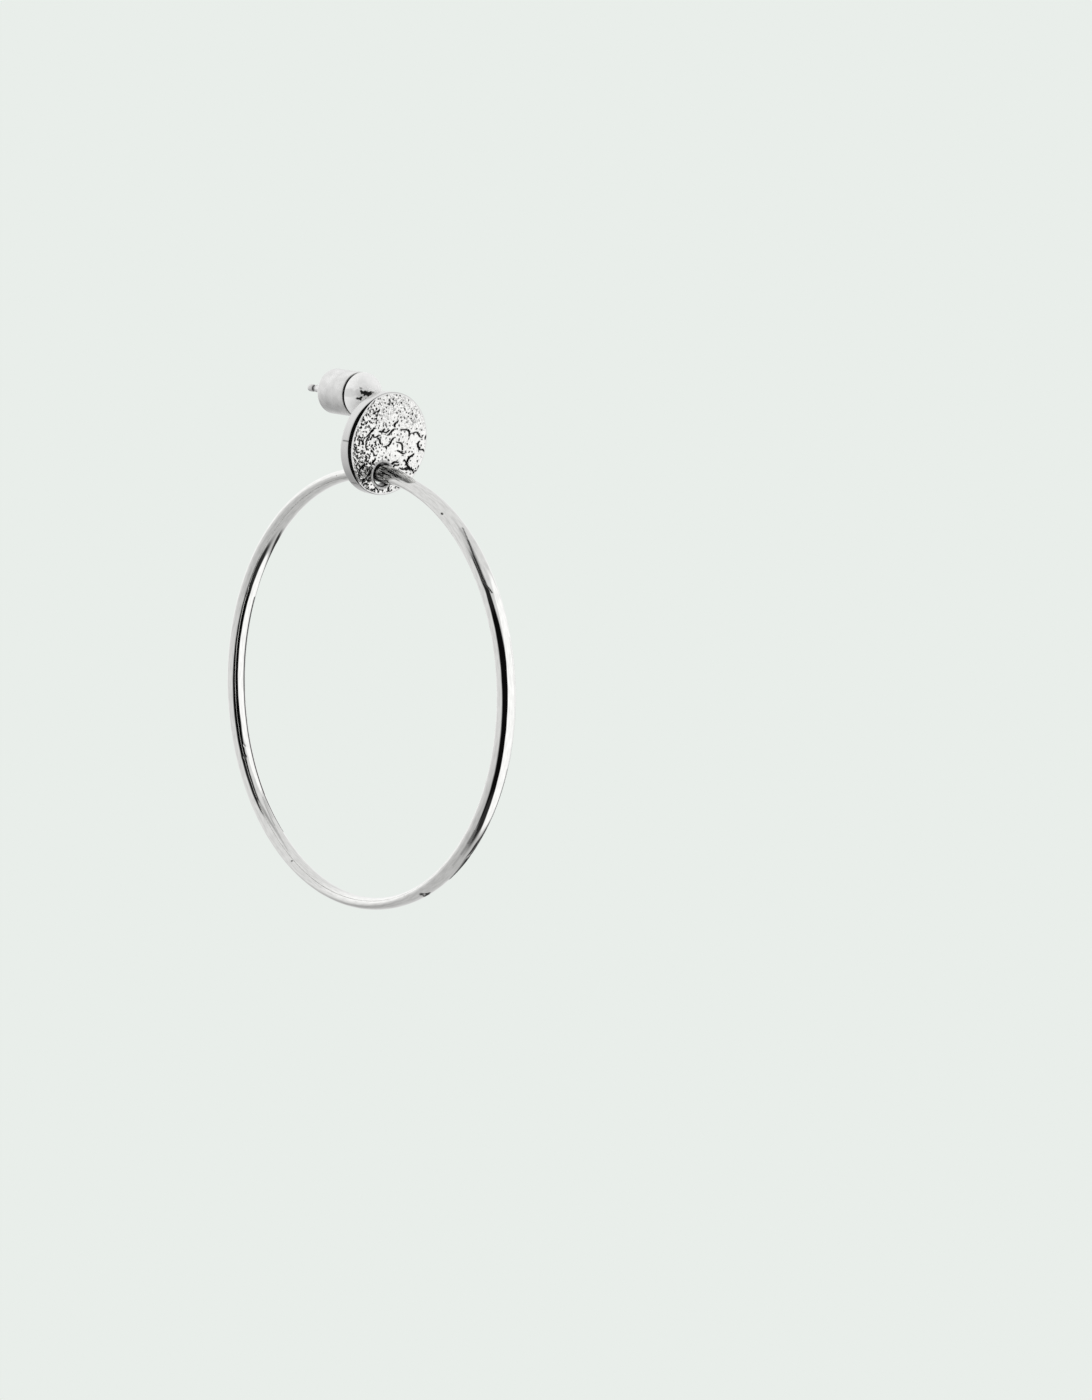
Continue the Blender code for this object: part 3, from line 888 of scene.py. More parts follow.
@dataclass
class CastDisc:
    """The oval cast disc with its rough front and the hoop's hole.

    The surface is one grid that closes on itself. Its columns run from the hole's centre outward
    through evenly spaced points of the oval, and its rows follow the disc's section: the back, the
    rim, the rounded front edge, the cast front and the hole's wall.
    """

    long_radius: float = 5.75 * MM
    short_radius: float = 5.25 * MM
    lean: float = math.radians(36.0)
    shift: float = 0.50 * MM
    plate_thickness: float = 1.30 * MM
    relief_height: float = 0.20 * MM
    hole_radius: float = 1.20 * MM
    hole_taper: float = 0.02 * MM
    # Painted shadow line along the rim's left edge
    nick_side_deg: float = 177.0
    columns: int = 620
    back_rows: int = 6
    rim_rows: int = 8
    edge_rows: int = 7
    bevel_rows: int = 5
    front_rows: int = 124
    wall_rows: int = 4
    back_rounding: float = 0.12 * MM
    front_rounding: float = 0.12 * MM
    widest_bevel: float = 0.40 * MM
    bevel_slope: float = math.radians(20.0)
    bevel_side_deg: float = 177.0
    hole_rounding: float = 0.08 * MM
    # Width of the painted shade: a dark ring in the hole's mouth
    mouth_width: float = 0.06 * MM
    # Width of the painted highlight on the lip, which also stands proud by lip_height
    lip_width: float = 0.13 * MM
    lip_height: float = 0.05 * MM
    outline_waver: float = 0.05 * MM
    fade_width: float = 0.20 * MM
    edge_height: float = 0.10 * MM
    # Width of the painted shadow line along the rim's left edge
    nick_width: float = 0.07 * MM
    # Darkness of the painted shade on the hole's wall and in its mouth
    oxide_darkness: float = 0.97
    plateau_mm: float = 0.14
    groove_mm: float = 0.09
    lump_mm: float = 0.003
    lower_lump_mm: float = 0.006
    grain_mm: float = 0.003
    pit_mm: float = 0.06
    long_grooves: Grooves = Grooves(11, 1.30 * MM, (0.8 * MM, 2.3 * MM), (0.070 * MM, 0.125 * MM))
    short_grooves: Grooves = Grooves(5, 0.52 * MM, (0.2 * MM, 0.7 * MM), (0.070 * MM, 0.120 * MM), 12)
    groove_patch: WaveField = WaveField(5, 2.6 * MM, 12)
    lump_field: WaveField = WaveField(23, 0.62 * MM, 30)
    lump_patch: WaveField = WaveField(8, 2.6 * MM, 12)
    grain_field: WaveField = WaveField(31, 0.27 * MM, 40)
    pit_field: WaveField = WaveField(47, 0.42 * MM, 30)
    finish: CastSilver = CastSilver()

    def measure(self, frame: dict) -> None:
        """Take the hole's centre and the disc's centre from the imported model.
        """
        swing = next(j for j in frame["joints"] if j["name"] == "hoop_swing")
        low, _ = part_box("disc_stud")
        half_height = math.hypot(self.long_radius * math.cos(self.lean),
                                 self.short_radius * math.sin(self.lean))
        self.centre = np.array([self.shift, low.z + half_height])
        self.hole_centre = np.array([swing["pos_m"][0], swing["pos_m"][2]])

    def oval(self, turn: np.ndarray) -> np.ndarray:
        """Points of the oval outline, as (x, z).

        A point is the centre plus the long axis times cos t plus the short axis times sin t, drawn
        in by a slow waver that a hand-cut edge has.

        Args:
            turn: Angle t of each point.

        Returns:
            One row of two for each angle.
        """
        long_axis = np.array([math.sin(self.lean), math.cos(self.lean)])
        short_axis = np.array([math.cos(self.lean), -math.sin(self.lean)])
        waver = 2.0 + np.sin(3.0 * turn + 0.6) + 0.6 * np.sin(5.0 * turn + 2.0) + 0.4 * np.sin(9.0 * turn)
        waver = waver / 4.0
        scale = 1.0 - self.outline_waver / self.long_radius * waver
        spoke = np.outer(self.long_radius * np.cos(turn), long_axis)
        spoke = spoke + np.outer(self.short_radius * np.sin(turn), short_axis)
        return self.centre + spoke * scale[:, None]

    def relief(self, x: np.ndarray, z: np.ndarray) -> tuple[np.ndarray, np.ndarray, np.ndarray]:
        """Work out the cast front.

        The front is nearly flat, with long winding grooves in its middle, short crowded ones and
        lumps towards its lower left, fine grain all over and small deep pits.

        Args:
            x: Sideways place of each point from the disc's centre.
            z: Upward place of each point from the disc's centre.

        Returns:
            The height above the plate, how dark the crevices are and how coarse the grain is, from
            0 to 1.
        """
        reach = self.long_radius
        left_and_down = (-x * 1.3 - z * 0.5) / reach * 1.1
        lower_left = smooth_step(-0.4, 0.9, left_and_down + 0.30 * self.lump_patch.at(x, z))
        upper = smooth_step(0.15, 0.7, (z + 0.15 * x) / reach)
        long_ones = self.long_grooves.at(x, z, reach) * (1.0 - 0.8 * upper)
        crowded = np.clip(0.8 * lower_left + 0.42 * upper - 0.1, 0.0, 0.66)
        short_ones = self.short_grooves.at(x, z, reach) * crowded
        groove = np.maximum(long_ones, short_ones)
        lumps = self.lump_field.at(x, z)
        grain = self.grain_field.at(x, z)
        pits = smooth_step(1.40, 1.8, self.pit_field.at(x, z) + 0.35 * lower_left)
        lump_height = self.lump_mm + self.lower_lump_mm * lower_left
        height = self.plateau_mm - self.groove_mm * groove + lump_height * lumps
        height = height + self.grain_mm * grain - self.pit_mm * pits
        crevice = np.clip(smooth_step(0.12, 0.55, groove) + pits * (0.5 + 0.5 * lower_left), 0.0, 1.0)
        coarse = 0.35 + 0.5 * upper + 0.05 * lower_left + 0.22 * self.groove_patch.at(x, z)
        coarse = np.clip(coarse, 0.1, 1.0)
        return np.clip(height * MM, 0.0, self.relief_height), crevice, coarse

    def build(self, frame: dict) -> bpy.types.Object:
        """Build the disc.


        Returns:
            The disc's object, riding on the stud's body.
        """
        self.measure(frame)
        rim_points = self.even_outline()
        spoke = rim_points - self.hole_centre
        length = np.linalg.norm(spoke, axis=1)
        direction = spoke / length[:, None]
        reach = length - self.hole_radius
        side = np.arctan2(rim_points[:, 1] - self.centre[1], rim_points[:, 0] - self.centre[0])
        nearness = 0.5 + 0.5 * np.cos(side - math.radians(self.bevel_side_deg))
        bevel = self.widest_bevel * smooth_step(0.70, 0.99, nearness)
        inset, depth, front, wall = self.section(reach, bevel)
        flat = rim_points[None] - direction[None] * inset[..., None]
        x, z = flat[..., 0], flat[..., 1]
        height, crevice, coarse = self.relief(x - self.centre[0], z - self.centre[1])
        from_rim = (inset - self.front_rounding - bevel) / (self.fade_width + 0.9 * bevel)
        from_hole = (reach - self.hole_rounding - inset) / self.fade_width
        fade = smooth_step(0.0, 1.0, np.minimum(from_rim, from_hole)) * front
        # Painted highlight: a pale lip round the hole
        off_hole = reach - self.hole_rounding - self.mouth_width - inset
        on_lip = np.exp(-(off_hole / self.lip_width - 1.0) ** 4) * front
        # Painted shade: a dark ring in the hole's mouth
        mouth = 1.0 - smooth_step(-0.5, 0.5, off_hole / self.mouth_width)
        mouth = mouth * (depth > 0.5 * self.plate_thickness)
        lift = self.edge_height + (height - self.edge_height) * fade + self.lip_height * on_lip
        y = -(depth + lift * np.where(front > 0.0, 1.0, depth / self.plate_thickness))
        points = np.stack([x, y, z], axis=-1)
        faces = closed_grid_faces(*x.shape)
        disc = mesh_object("cast_disc", points.reshape(-1, 3), faces)
        # Painted shadow line along the rim's left edge, and painted shade on the hole's wall
        off_nick = np.angle(np.exp(1j * (side - math.radians(self.nick_side_deg)))) * self.long_radius
        nick = 0.8 * np.exp(-(off_nick / self.nick_width) ** 2) * (inset < 0.1 * MM) * (depth > 0.35 * MM)
        oxide = np.maximum(crevice * fade * (1.0 - 0.8 * on_lip), self.oxide_darkness * mouth)
        set_attribute(disc, "crevice", np.maximum.reduce([oxide, self.oxide_darkness * wall, nick]))
        set_attribute(disc, "cast_face", fade)
        set_attribute(disc, "coarse", coarse)
        set_attribute(disc, "lip", on_lip)
        point_outward(disc)
        disc.data.materials.append(self.finish.make())
        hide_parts("disc_stud")
        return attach(disc, "stud")

    def even_outline(self) -> np.ndarray:
        """Space points along the oval's edge.

        Returns:
            Points at even steps along the edge, as (x, z).
        """
        turn = np.linspace(0.0, FULL_TURN, 8 * self.columns + 1)
        fine = self.oval(turn)
        run = np.concatenate([[0.0], np.cumsum(np.linalg.norm(np.diff(fine, axis=0), axis=1))])
        even = np.interp(np.arange(self.columns) * run[-1] / self.columns, run, turn)
        return self.oval(even)

    def section(self, reach: np.ndarray, bevel: np.ndarray) -> tuple[np.ndarray, ...]:
        """Work out the disc's section along each column.

        Args:
            reach: Distance from the outline to the hole's edge along each column.
            bevel: Width of the front edge's bevel at each column.

        Returns:
            Inset from the outline, depth in front of the back face, 1 on the cast front, and 1 on the
            hole's wall, each with a row for each step of the section and a column for each column of
            the grid.
        """
        back, hole, rounding = self.back_rounding, self.hole_rounding, self.front_rounding
        thick, taper = self.plate_thickness, self.hole_taper
        level = np.zeros_like(reach)
        last = math.pi / 2.0 - self.bevel_slope
        start = rounding * (1.0 - math.cos(last))
        drop = bevel * math.tan(self.bevel_slope)
        low_edge = thick - drop - rounding * math.sin(last)
        rows: list[tuple[np.ndarray, np.ndarray, float, float]] = []
        for share in np.linspace(0.0, 1.0, self.back_rows):
            rows.append(((reach + taper - back) * (1.0 - share) + back * share, level, 0.0, 0.0))
        for angle in np.radians(np.linspace(0.0, 90.0, 5))[1:]:
            rows.append((level + back * (1.0 - np.sin(angle)), level + back * (1.0 - np.cos(angle)),
                         0.0, 0.0))
        for share in np.linspace(0.0, 1.0, self.rim_rows)[1:-1]:
            rows.append((level, back * (1.0 - share) + low_edge * share, 0.0, 0.0))
        for angle in np.linspace(0.0, last, self.edge_rows):
            rows.append((level + rounding * (1.0 - np.cos(angle)), low_edge + rounding * np.sin(angle),
                         0.0, 0.0))
        for share in np.linspace(0.0, 1.0, self.bevel_rows)[1:]:
            rows.append((start + bevel * share, thick - drop * (1.0 - share), 0.0, 0.0))
        for share in np.linspace(0.0, 1.0, self.front_rows)[1:]:
            rows.append(((start + bevel) * (1.0 - share) + (reach - hole) * share, level + thick,
                         1.0, 0.0))
        for angle in np.radians(np.linspace(90.0, 0.0, 5))[1:]:
            rows.append((reach - hole * (1.0 - np.cos(angle)), level + thick - hole * (1.0 - np.sin(angle)),
                         0.0, float(angle < 1.0)))
        for share in np.linspace(0.0, 1.0, self.wall_rows)[1:-1]:
            rows.append((reach + taper * share, level + (thick - hole) * (1.0 - share) + back * share,
                         0.0, 1.0))
        for angle in np.radians(np.linspace(90.0, 0.0, 5))[:-1]:
            rows.append((reach + taper - back * (1.0 - np.sin(angle)), level + back * (1.0 - np.cos(angle)),
                         0.0, 0.0))
        inset, depth = (np.stack([row[k] for row in rows]) for k in (0, 1))
        front, wall = (np.repeat(np.array([row[k] for row in rows])[:, None], len(reach), axis=1)
                       for k in (2, 3))
        return inset, depth, front, wall


def turned_object(name: str, profile: np.ndarray, segments: int) -> bpy.types.Object:
    """Turn a closed profile about the Y axis.

    A point lies at (r cos t, y, r sin t) for each (r, y) of the profile and each angle t.

    Args:
        name: The object's name.
        profile: One row of (radius, along) for each point.
        segments: Steps round the axis.

    Returns:
        The object. Points of the profile on the axis are merged into one.
    """
    turn = np.arange(segments) * FULL_TURN / segments
    radius, along = profile[:, 0][:, None], profile[:, 1][:, None]
    points = np.stack([radius * np.cos(turn), along + 0.0 * turn, radius * np.sin(turn)], axis=-1)
    obj = mesh_object(name, points.reshape(-1, 3), closed_grid_faces(len(profile), segments))
    shell = bmesh.new()
    shell.from_mesh(obj.data)
    bmesh.ops.remove_doubles(shell, verts=shell.verts, dist=0.0001 * MM)
    bmesh.ops.recalc_face_normals(shell, faces=shell.faces)
    shell.to_mesh(obj.data)
    shell.free()
    return obj


def radius_and_along(obj: bpy.types.Object) -> tuple[np.ndarray, np.ndarray]:
    """Distance from the Y axis and place along it of each point of a mesh."""
    flat = np.zeros(len(obj.data.vertices) * 3, np.float32)
    obj.data.vertices.foreach_get("co", flat)
    x, y, z = flat.reshape(-1, 3).T
    return np.hypot(x, z), y


@dataclass
class EarPost:
    """The ear post, a rod with a blunt tip, a friction groove and a fillet of solder at its root."""

    radius: float = 0.40 * MM
    groove_depth: float = 0.09 * MM
    groove_width: float = 0.45 * MM
    groove_from_tip: float = 0.70 * MM
    tip_rounding: float = 0.12 * MM
    solder_radius: float = 0.14 * MM
    root_depth: float = 0.40 * MM
    segments: int = 64

    def build(self, material: bpy.types.Material) -> bpy.types.Object:
        """Build the post.

        Args:
            material: The clutch and post's metal.

        Returns:
            The post's object, riding on the stud's body.
        """
        _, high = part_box("disc_stud")
        tip = high.y
        r, deep = self.radius, self.radius - self.groove_depth
        top = tip - self.groove_from_tip
        bottom = top - self.groove_width
        solder, round_tip = self.solder_radius, self.tip_rounding
        profile = np.concatenate([
            [(0.0, tip)],
            arc((r - round_tip, tip - round_tip), (round_tip, round_tip), 90.0, 0.0, 6),
            [(r, top + 0.02 * MM), (r - 0.02 * MM, top), (deep, top - self.groove_depth)],
            [(deep, bottom + self.groove_depth), (r - 0.02 * MM, bottom), (r, bottom - 0.02 * MM)],
            line((r, bottom), (r, solder), 12),
            arc((r + solder, solder), (solder, solder), 180.0, 270.0, 6),
            [(r + solder, -self.root_depth), (0.0, -self.root_depth)],
        ])
        post = turned_object("ear_post", profile, self.segments)
        from_axis, along = radius_and_along(post)
        in_groove = (from_axis < deep + 0.02 * MM) & (along > bottom) & (along < top)
        # Painted shade down in the friction groove
        set_attribute(post, "inside", in_groove * 0.9)
        post.data.materials.append(material)
        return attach(post, "stud")


@dataclass(frozen=True)
class Tarnish:
    """A painted reflection on the dome: all that lies within a thin rod, whose ends are in millimetres."""

    start: tuple[float, float, float]
    end: tuple[float, float, float]
    radius: float
    darkness: float
    softness: float = 0.2


@dataclass
class BulletClutch:
    """The clutch: a dome with a spigot, seated in a barrel, both bored for the post."""

    dome_length: float = 2.00 * MM
    seam_gap: float = 0.38 * MM
    edge_bevel: float = 0.05 * MM
    barrel_wall: float = 0.42 * MM
    barrel_end_wall: float = 0.90 * MM
    barrel_end_rounding: float = 0.38 * MM
    spigot_clearance: float = 0.10 * MM
    bore_radius: float = 0.50 * MM
    segments: int = 192
    # Painted reflections on the dome beside the disc's rim
    tarnish: tuple[Tarnish, ...] = (
        Tarnish((-2.36, 2.6, 0.30), (-1.30, 1.45, 0.26), 0.46, 0.22, 0.5),
        Tarnish((-1.34, 1.50, 0.46), (-0.90, 1.28, 0.34), 0.17, 1.0),
        Tarnish((-0.95, 1.30, 0.34), (-0.35, 1.20, 0.22), 0.29, 1.0),
        Tarnish((-1.52, 1.55, -0.26), (-1.30, 1.42, -0.20), 0.18, 1.0),
        Tarnish((-1.38, 1.58, 0.84), (-1.22, 1.50, 0.84), 0.09, 0.7),
        Tarnish((-1.66, 1.66, -0.40), (-1.54, 1.76, -1.00), 0.06, 0.35),
    )
    tarnish_edge: WaveField = WaveField(63, 0.35 * MM, 16)
    finish: SatinSilver = SatinSilver(colour="#E2E2E1", dull_colour="#CFCFCE")
    dome_finish: SatinSilver = SatinSilver("pickled_silver", "#F7F7F6", "#F0F0EF",
                                           roughness=0.42, metallic=0.2)

    def measure(self) -> None:
        """Take the clutch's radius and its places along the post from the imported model."""
        _, dome_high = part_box("clutch_dome")
        barrel_low, barrel_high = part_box("clutch_barrel")
        self.radius = dome_high.z
        self.spigot_end = dome_high.y
        self.mouth = barrel_low.y
        self.barrel_end = barrel_high.y
        self.shoulder = self.mouth - self.seam_gap
        self.nose = self.shoulder + self.seam_gap / 2.0 - self.dome_length

    def build(self) -> bpy.types.Material:
        """Build both pieces.

        Returns:
            The barrel's metal, which the post shares.
        """
        self.measure()
        metal = self.finish.make()
        dome = self.build_dome()
        self.dress(dome, "clutch_dome", self.dome_finish.make())
        # Painted reflections beside the disc's rim
        set_attribute(dome, "stain", self.tarnished(dome))
        barrel = self.build_barrel()
        self.dress(barrel, "clutch_barrel", metal)
        LOG.info("%s and %s are built", dome.name, barrel.name)
        return metal

    def tarnished(self, dome: bpy.types.Object) -> np.ndarray:
        """How dark the painted reflection on the dome is beside the disc's rim, from 0 to 1.

        The patch is all that lies within a few thin rods, with a ragged edge.

        Args:
            dome: The dome's object.

        Returns:
            The darkness at each point of its mesh.
        """
        place = np.zeros(len(dome.data.vertices) * 3, np.float32)
        dome.data.vertices.foreach_get("co", place)
        place = place.reshape(-1, 3).astype(float)
        ragged = 0.22 * self.tarnish_edge.at(place[:, 0], place[:, 2])
        dark = np.zeros(len(place))
        for mark in self.tarnish:
            start, way = np.array(mark.start) * MM, (np.array(mark.end) - np.array(mark.start)) * MM
            share = np.clip((place - start) @ way / (way @ way), 0.0, 1.0)
            away = np.linalg.norm(place - start - share[:, None] * way, axis=1) / (mark.radius * MM)
            cover = 1.0 - smooth_step(1.0 - mark.softness, 1.0 + mark.softness, away + ragged)
            dark = np.maximum(dark, mark.darkness * cover)
        return dark

    def build_dome(self) -> bpy.types.Object:
        """Build half an egg with its rim at the seam and a bored spigot behind it.

        Returns:
            The dome's object.
        """
        bevel = self.edge_bevel
        spigot = self.radius - self.barrel_wall - self.spigot_clearance
        length = self.shoulder - bevel - self.nose
        nose_angle = math.degrees(math.acos(self.bore_radius / self.radius))
        profile = np.concatenate([
            [(self.bore_radius, self.spigot_end), (spigot - bevel, self.spigot_end)],
            [(spigot, self.spigot_end - bevel), (spigot, self.shoulder)],
            arc((self.radius - bevel, self.shoulder - bevel), (bevel, bevel), 90.0, 0.0, 4),
            arc((0.0, self.shoulder - bevel), (self.radius, length), -1.0, -nose_angle, 48),
        ])
        return turned_object("silver_clutch_dome", profile, self.segments)

    def build_barrel(self) -> bpy.types.Object:
        """Build a cup with its mouth at the seam and a bored end wall.

        Returns:
            The barrel's object.
        """
        bevel, rounding = self.edge_bevel, self.barrel_end_rounding
        inner = self.radius - self.barrel_wall
        inner_end = self.barrel_end - self.barrel_end_wall
        corner = (self.radius - rounding, self.barrel_end - rounding)
        profile = np.concatenate([
            [(self.bore_radius, self.barrel_end)],
            arc(corner, (rounding, rounding), 90.0, 0.0, 12),
            line((self.radius, corner[1]), (self.radius, self.mouth + bevel), 12),
            arc((self.radius - bevel, self.mouth + bevel), (bevel, bevel), 0.0, -90.0, 4),
            [(inner, self.mouth), (inner, inner_end), (self.bore_radius, inner_end)],
        ])
        return turned_object("silver_clutch_barrel", profile, self.segments)

    def dress(self, piece: bpy.types.Object, node: str, metal: bpy.types.Material) -> None:
        """Give a piece its metal, painted shade on its faces down in the seam, and its place in the frame.

        Args:
            piece: The piece's object.
            node: The CAD node that it stands for.
            metal: The clutch's metal.
        """
        radius, along = radius_and_along(piece)
        skin = self.radius - self.edge_bevel * 1.2
        in_seam = (radius < skin) & (along > self.shoulder - 0.01 * MM)
        in_seam &= along < self.barrel_end - 0.5 * MM
        # Painted shade on the faces hidden down in the seam
        set_attribute(piece, "inside", in_seam.astype(float))
        piece.data.materials.append(metal)
        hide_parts(node)
        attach(piece, "clutch")


class Side(Enum):
    """Which way round the camera a studio panel stands, as a sign for its azimuth."""

    LEFT = -1.0
    RIGHT = 1.0


@dataclass(frozen=True)
class Panel:
    """A large soft light or a dark flag in the studio, seen only as a reflection.

    Its centre is an azimuth from the camera, positive to the camera's right as the earring sees it
    mirrored, and an elevation. Its edges fade over the given shares of its half size. Roundness
    draws the ends in towards the sides, from 0, a rectangle, to 1, an oval.
    """

    name: str
    side: Side
    azimuth: float
    elevation: float
    half_width: float
    half_height: float
    brightness: float
    roll: float = 0.0
    roundness: float = 0.0
    fade_left: float = 0.2
    fade_right: float = 0.2
    fade_ends: float = 0.3


@dataclass(frozen=True)
class Studio:
    """Plain soft studio light: pale paper all round, a softbox, dark flags and low shades.

    The levels are those that the metal mirrors. Frosted metal, which scatters light, gets the even
    light in their place.
    """

    paper: str = PAPER_COLOUR
    floor_drop: float = 0.45
    floor_size: float = 8.0
    walls: float = 0.82
    ceiling: float = 0.84
    ground: float = 0.58
    even_light: float = 0.96
    ground_edge_deg: tuple[float, float] = (-50.0, -8.0)
    ceiling_edge_deg: tuple[float, float] = (20.0, 70.0)
    panels: tuple[Panel, ...] = (
        Panel("backdrop", Side.LEFT, 140.0, 20.0, 44.0, 32.0, 1.14, 0.0, 1.0, 0.5, 0.4, 0.5),
        Panel("table_shade", Side.LEFT, 134.0, -44.0, 34.0, 13.0, 0.46, 0.0, 1.0, 0.6, 0.6, 0.8),
        Panel("fill", Side.RIGHT, 150.0, -3.0, 30.0, 22.0, 1.08, 0.0, 1.0, 0.3, 0.3, 0.6),
        Panel("high_shade", Side.RIGHT, 88.0, 67.0, 52.0, 6.0, 0.45, 0.0, 1.0, 0.5, 0.5, 0.8),
        Panel("low_shade", Side.RIGHT, 92.0, -60.0, 28.0, 8.0, 0.3, 0.0, 1.0, 0.5, 0.5, 0.8),
        Panel("flag", Side.RIGHT, 45.0, 0.0, 29.0, 61.0, 0.004, 16.0, 0.3, 0.28, 0.15, 0.12),
        Panel("flag_top", Side.RIGHT, 30.0, 57.0, 38.0, 15.0, 0.02, 0.0, 1.0, 0.4, 0.3, 0.3),
        Panel("flag_foot", Side.RIGHT, 76.0, -54.0, 30.0, 13.0, 0.03, 0.0, 1.0, 0.4, 0.3, 0.35),
        Panel("softbox", Side.RIGHT, 103.0, -4.0, 39.0, 46.0, 1.2, 0.0, 1.0, 0.04, 0.2, 0.05),
        Panel("edge_flag", Side.RIGHT, 151.0, -25.0, 4.5, 28.0, 0.05, -39.0, 0.0, 0.5, 0.5, 0.1),
    )

    def build(self, camera_azimuth: float) -> None:
        """Light the scene and lay its floor.

        Args:
            camera_azimuth: The camera's azimuth in degrees, which the panels are placed from.
        """
        self.light(camera_azimuth)
        self.lay_floor()

    def light(self, camera_azimuth: float) -> None:
        """Build the world: paper to the camera, panels to all that mirrors, even light to frosted metal.

        Azimuth is atan2(d . right, d . camera) and elevation is asin(d . up), in degrees, where d is
        the direction looked at. A panel turns them into shares of its half size.

        Args:
            camera_azimuth: The camera's azimuth in degrees, which the panels are placed from.
        """
        world = bpy.data.worlds.new("studio")
        bpy.context.scene.world = world
        world.use_nodes = True
        tree = world.node_tree
        tree.nodes.clear()
        a = math.radians(camera_azimuth)
        looking = add_node(tree, "ShaderNodeTexCoord", output="Generated")
        across = add_node(tree, "ShaderNodeVectorMath", {0: looking, 1: (math.cos(a), math.sin(a), 0.0)},
                          operation="DOT_PRODUCT")
        toward = add_node(tree, "ShaderNodeVectorMath", {0: looking, 1: (math.sin(a), -math.cos(a), 0.0)},
                          operation="DOT_PRODUCT")
        upward = add_node(tree, "ShaderNodeSeparateXYZ", {0: looking}, "Z")
        azimuth = add_node(tree, "ShaderNodeMath", {0: across, 1: toward}, operation="ARCTAN2")
        elevation = add_node(tree, "ShaderNodeMath", {0: upward}, operation="ARCSINE")
        angles = add_node(tree, "ShaderNodeCombineXYZ", {0: azimuth, 1: elevation})
        degrees = add_node(tree, "ShaderNodeVectorMath", {0: angles, 3: math.degrees(1.0)},
                           operation="SCALE")
        level = self.room_level(tree, degrees)
        for panel in self.panels:
            level = self.hang(tree, panel, degrees, level)
        scattered = add_node(tree, "ShaderNodeLightPath", output="Is Diffuse Ray")
        seen = add_node(tree, "ShaderNodeLightPath", output="Is Camera Ray")
        light = add_node(tree, "ShaderNodeMix", {"Factor": scattered, "A": level, "B": self.even_light},
                         data_type="FLOAT")
        mirrored = add_node(tree, "ShaderNodeBackground", {"Color": light})
        paper = add_node(tree, "ShaderNodeBackground", {"Color": linear(self.paper)})
        either = add_node(tree, "ShaderNodeMixShader", {0: seen, 1: mirrored, 2: paper})
        add_node(tree, "ShaderNodeOutputWorld", {"Surface": either})

    def room_level(self, tree: bpy.types.NodeTree, degrees: bpy.types.NodeSocket) -> bpy.types.NodeSocket:
        """Brightness of the paper room: ground below, walls around, ceiling above.

        Args:
            tree: The world's nodes.
            degrees: Azimuth and elevation, in degrees.

        Returns:
            The socket that carries the brightness.
        """
        height = add_node(tree, "ShaderNodeSeparateXYZ", {0: degrees}, "Y")
        low, high = self.ground_edge_deg
        lower = add_node(tree, "ShaderNodeMapRange",
                         {"Value": height, "From Min": low, "From Max": high,
                          "To Min": self.ground, "To Max": self.walls})
        low, high = self.ceiling_edge_deg
        higher = add_node(tree, "ShaderNodeMapRange",
                          {"Value": height, "From Min": low, "From Max": high,
                           "To Min": 0.0, "To Max": self.ceiling - self.walls})
        return add_node(tree, "ShaderNodeMath", {0: lower, 1: higher}, operation="ADD")

    def hang(self, tree: bpy.types.NodeTree, panel: Panel, degrees: bpy.types.NodeSocket,
             level: bpy.types.NodeSocket) -> bpy.types.NodeSocket:
        """Lay one panel over what is already in the room.

        Args:
            tree: The world's nodes.
            panel: The panel.
            degrees: Azimuth and elevation, in degrees.
            level: Brightness without the panel.

        Returns:
            Brightness with the panel.
        """
        centre = (panel.side.value * panel.azimuth, panel.elevation, 0.0)
        local = add_node(tree, "ShaderNodeMapping",
                         {"Vector": degrees, "Location": centre,
                          "Rotation": (0.0, 0.0, math.radians(panel.roll)),
                          "Scale": (panel.half_width, panel.half_height, 1.0)}, vector_type="TEXTURE")
        across = add_node(tree, "ShaderNodeSeparateXYZ", {0: local}, "X")
        drawn_in = add_node(tree, "ShaderNodeVectorMath", {0: local, 1: (panel.roundness, 1.0, 0.0)},
                            operation="MULTIPLY")
        height = add_node(tree, "ShaderNodeVectorMath", {0: drawn_in}, operation="LENGTH")
        left, right, ends = (
            add_node(tree, "ShaderNodeMapRange", {"Value": value, "From Min": none, "From Max": full},
                     interpolation_type="SMOOTHSTEP")
            for value, none, full in (
                (across, -1.0 - panel.fade_left, -1.0 + panel.fade_left),
                (across, 1.0 + panel.fade_right, 1.0 - panel.fade_right),
                (height, 1.0 + panel.fade_ends, 1.0 - panel.fade_ends)))
        sides = add_node(tree, "ShaderNodeMath", {0: left, 1: right}, operation="MULTIPLY")
        cover = add_node(tree, "ShaderNodeMath", {0: sides, 1: ends}, operation="MULTIPLY")
        return add_node(tree, "ShaderNodeMix", {"Factor": cover, "A": level, "B": panel.brightness},
                        data_type="FLOAT", label=panel.name)

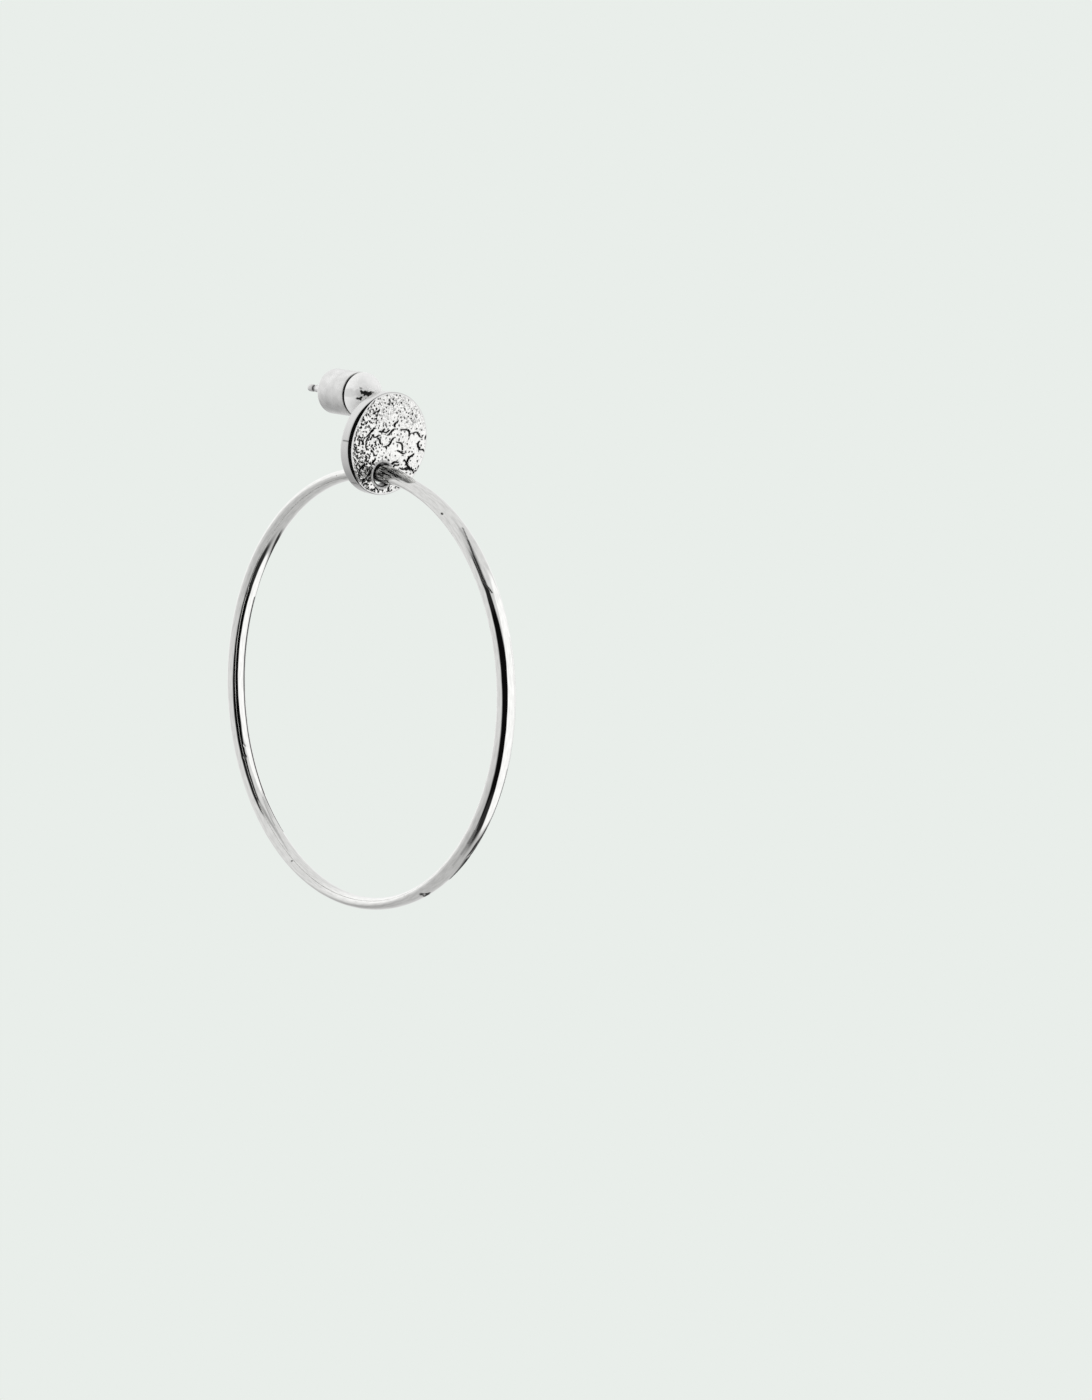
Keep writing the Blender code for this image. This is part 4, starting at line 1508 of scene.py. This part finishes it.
    def lay_floor(self) -> None:
        """Lay a plain pale floor well below the earring, which hangs at ear height."""
        half = self.floor_size / 2.0
        low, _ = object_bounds()
        corner = np.array([[-half, -half], [half, -half], [half, half], [-half, half]])
        points = np.column_stack([corner, np.full(4, low.z - self.floor_drop)])
        floor = mesh_object("floor", points, np.array([[0, 1, 2, 3]]))
        material = bpy.data.materials.new("pale_paper")
        material.use_nodes = True
        tree = material.node_tree
        tree.nodes.clear()
        glow = add_node(tree, "ShaderNodeEmission", {"Color": linear(self.paper)})
        add_node(tree, "ShaderNodeOutputMaterial", {"Surface": glow})
        floor.data.materials.append(material)
        floor.visible_glossy = False
        floor.visible_diffuse = False
        floor.visible_shadow = False
        floor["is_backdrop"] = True


@dataclass(frozen=True)
class Viewpoint:
    """The photograph's camera, by its azimuth, elevation and roll about the point that it aims at."""

    azimuth: float = -40.56
    elevation: float = 6.75
    roll: float = 3.21
    aim: tuple[float, float, float] = (14.713 * MM, -13.283 * MM, -31.686 * MM)
    distance: float = 650.0 * MM
    lens_mm: float = 154.57
    sensor_mm: float = 36.0

    def build(self) -> None:
        """Make the camera and look through it."""
        a, e, r = (math.radians(v) for v in (self.azimuth, self.elevation, self.roll))
        back = Vector((math.sin(a) * math.cos(e), -math.cos(a) * math.cos(e), math.sin(e)))
        level_right = Vector((math.cos(a), math.sin(a), 0.0))
        level_up = back.cross(level_right)
        right = level_right * math.cos(r) + level_up * math.sin(r)
        up = level_up * math.cos(r) - level_right * math.sin(r)
        data = bpy.data.cameras.new("camera")
        data.lens = self.lens_mm
        data.sensor_width = self.sensor_mm
        data.clip_start = 0.01
        data.clip_end = 20.0
        camera = bpy.data.objects.new("camera", data)
        bpy.context.scene.collection.objects.link(camera)
        turn = Matrix((right, up, back)).transposed().to_4x4()
        camera.matrix_world = Matrix.Translation(Vector(self.aim) + back * self.distance) @ turn
        bpy.context.scene.camera = camera


def main() -> None:
    """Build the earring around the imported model, and the studio around it."""
    logging.basicConfig(level=logging.INFO, format="%(name)s: %(message)s")
    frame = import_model()
    bpy.context.scene.view_settings.view_transform = "Standard"
    view = Viewpoint()
    view.build()
    hoop = Hoop().build()
    LOG.info("%s has %d faces", hoop.name, len(hoop.data.polygons))
    disc = CastDisc().build(frame)
    LOG.info("%s has %d faces", disc.name, len(disc.data.polygons))
    metal = BulletClutch().build()
    post = EarPost().build(metal)
    LOG.info("%s has %d faces", post.name, len(post.data.polygons))
    Studio().build(view.azimuth)


if __name__ == "__main__":
    main()
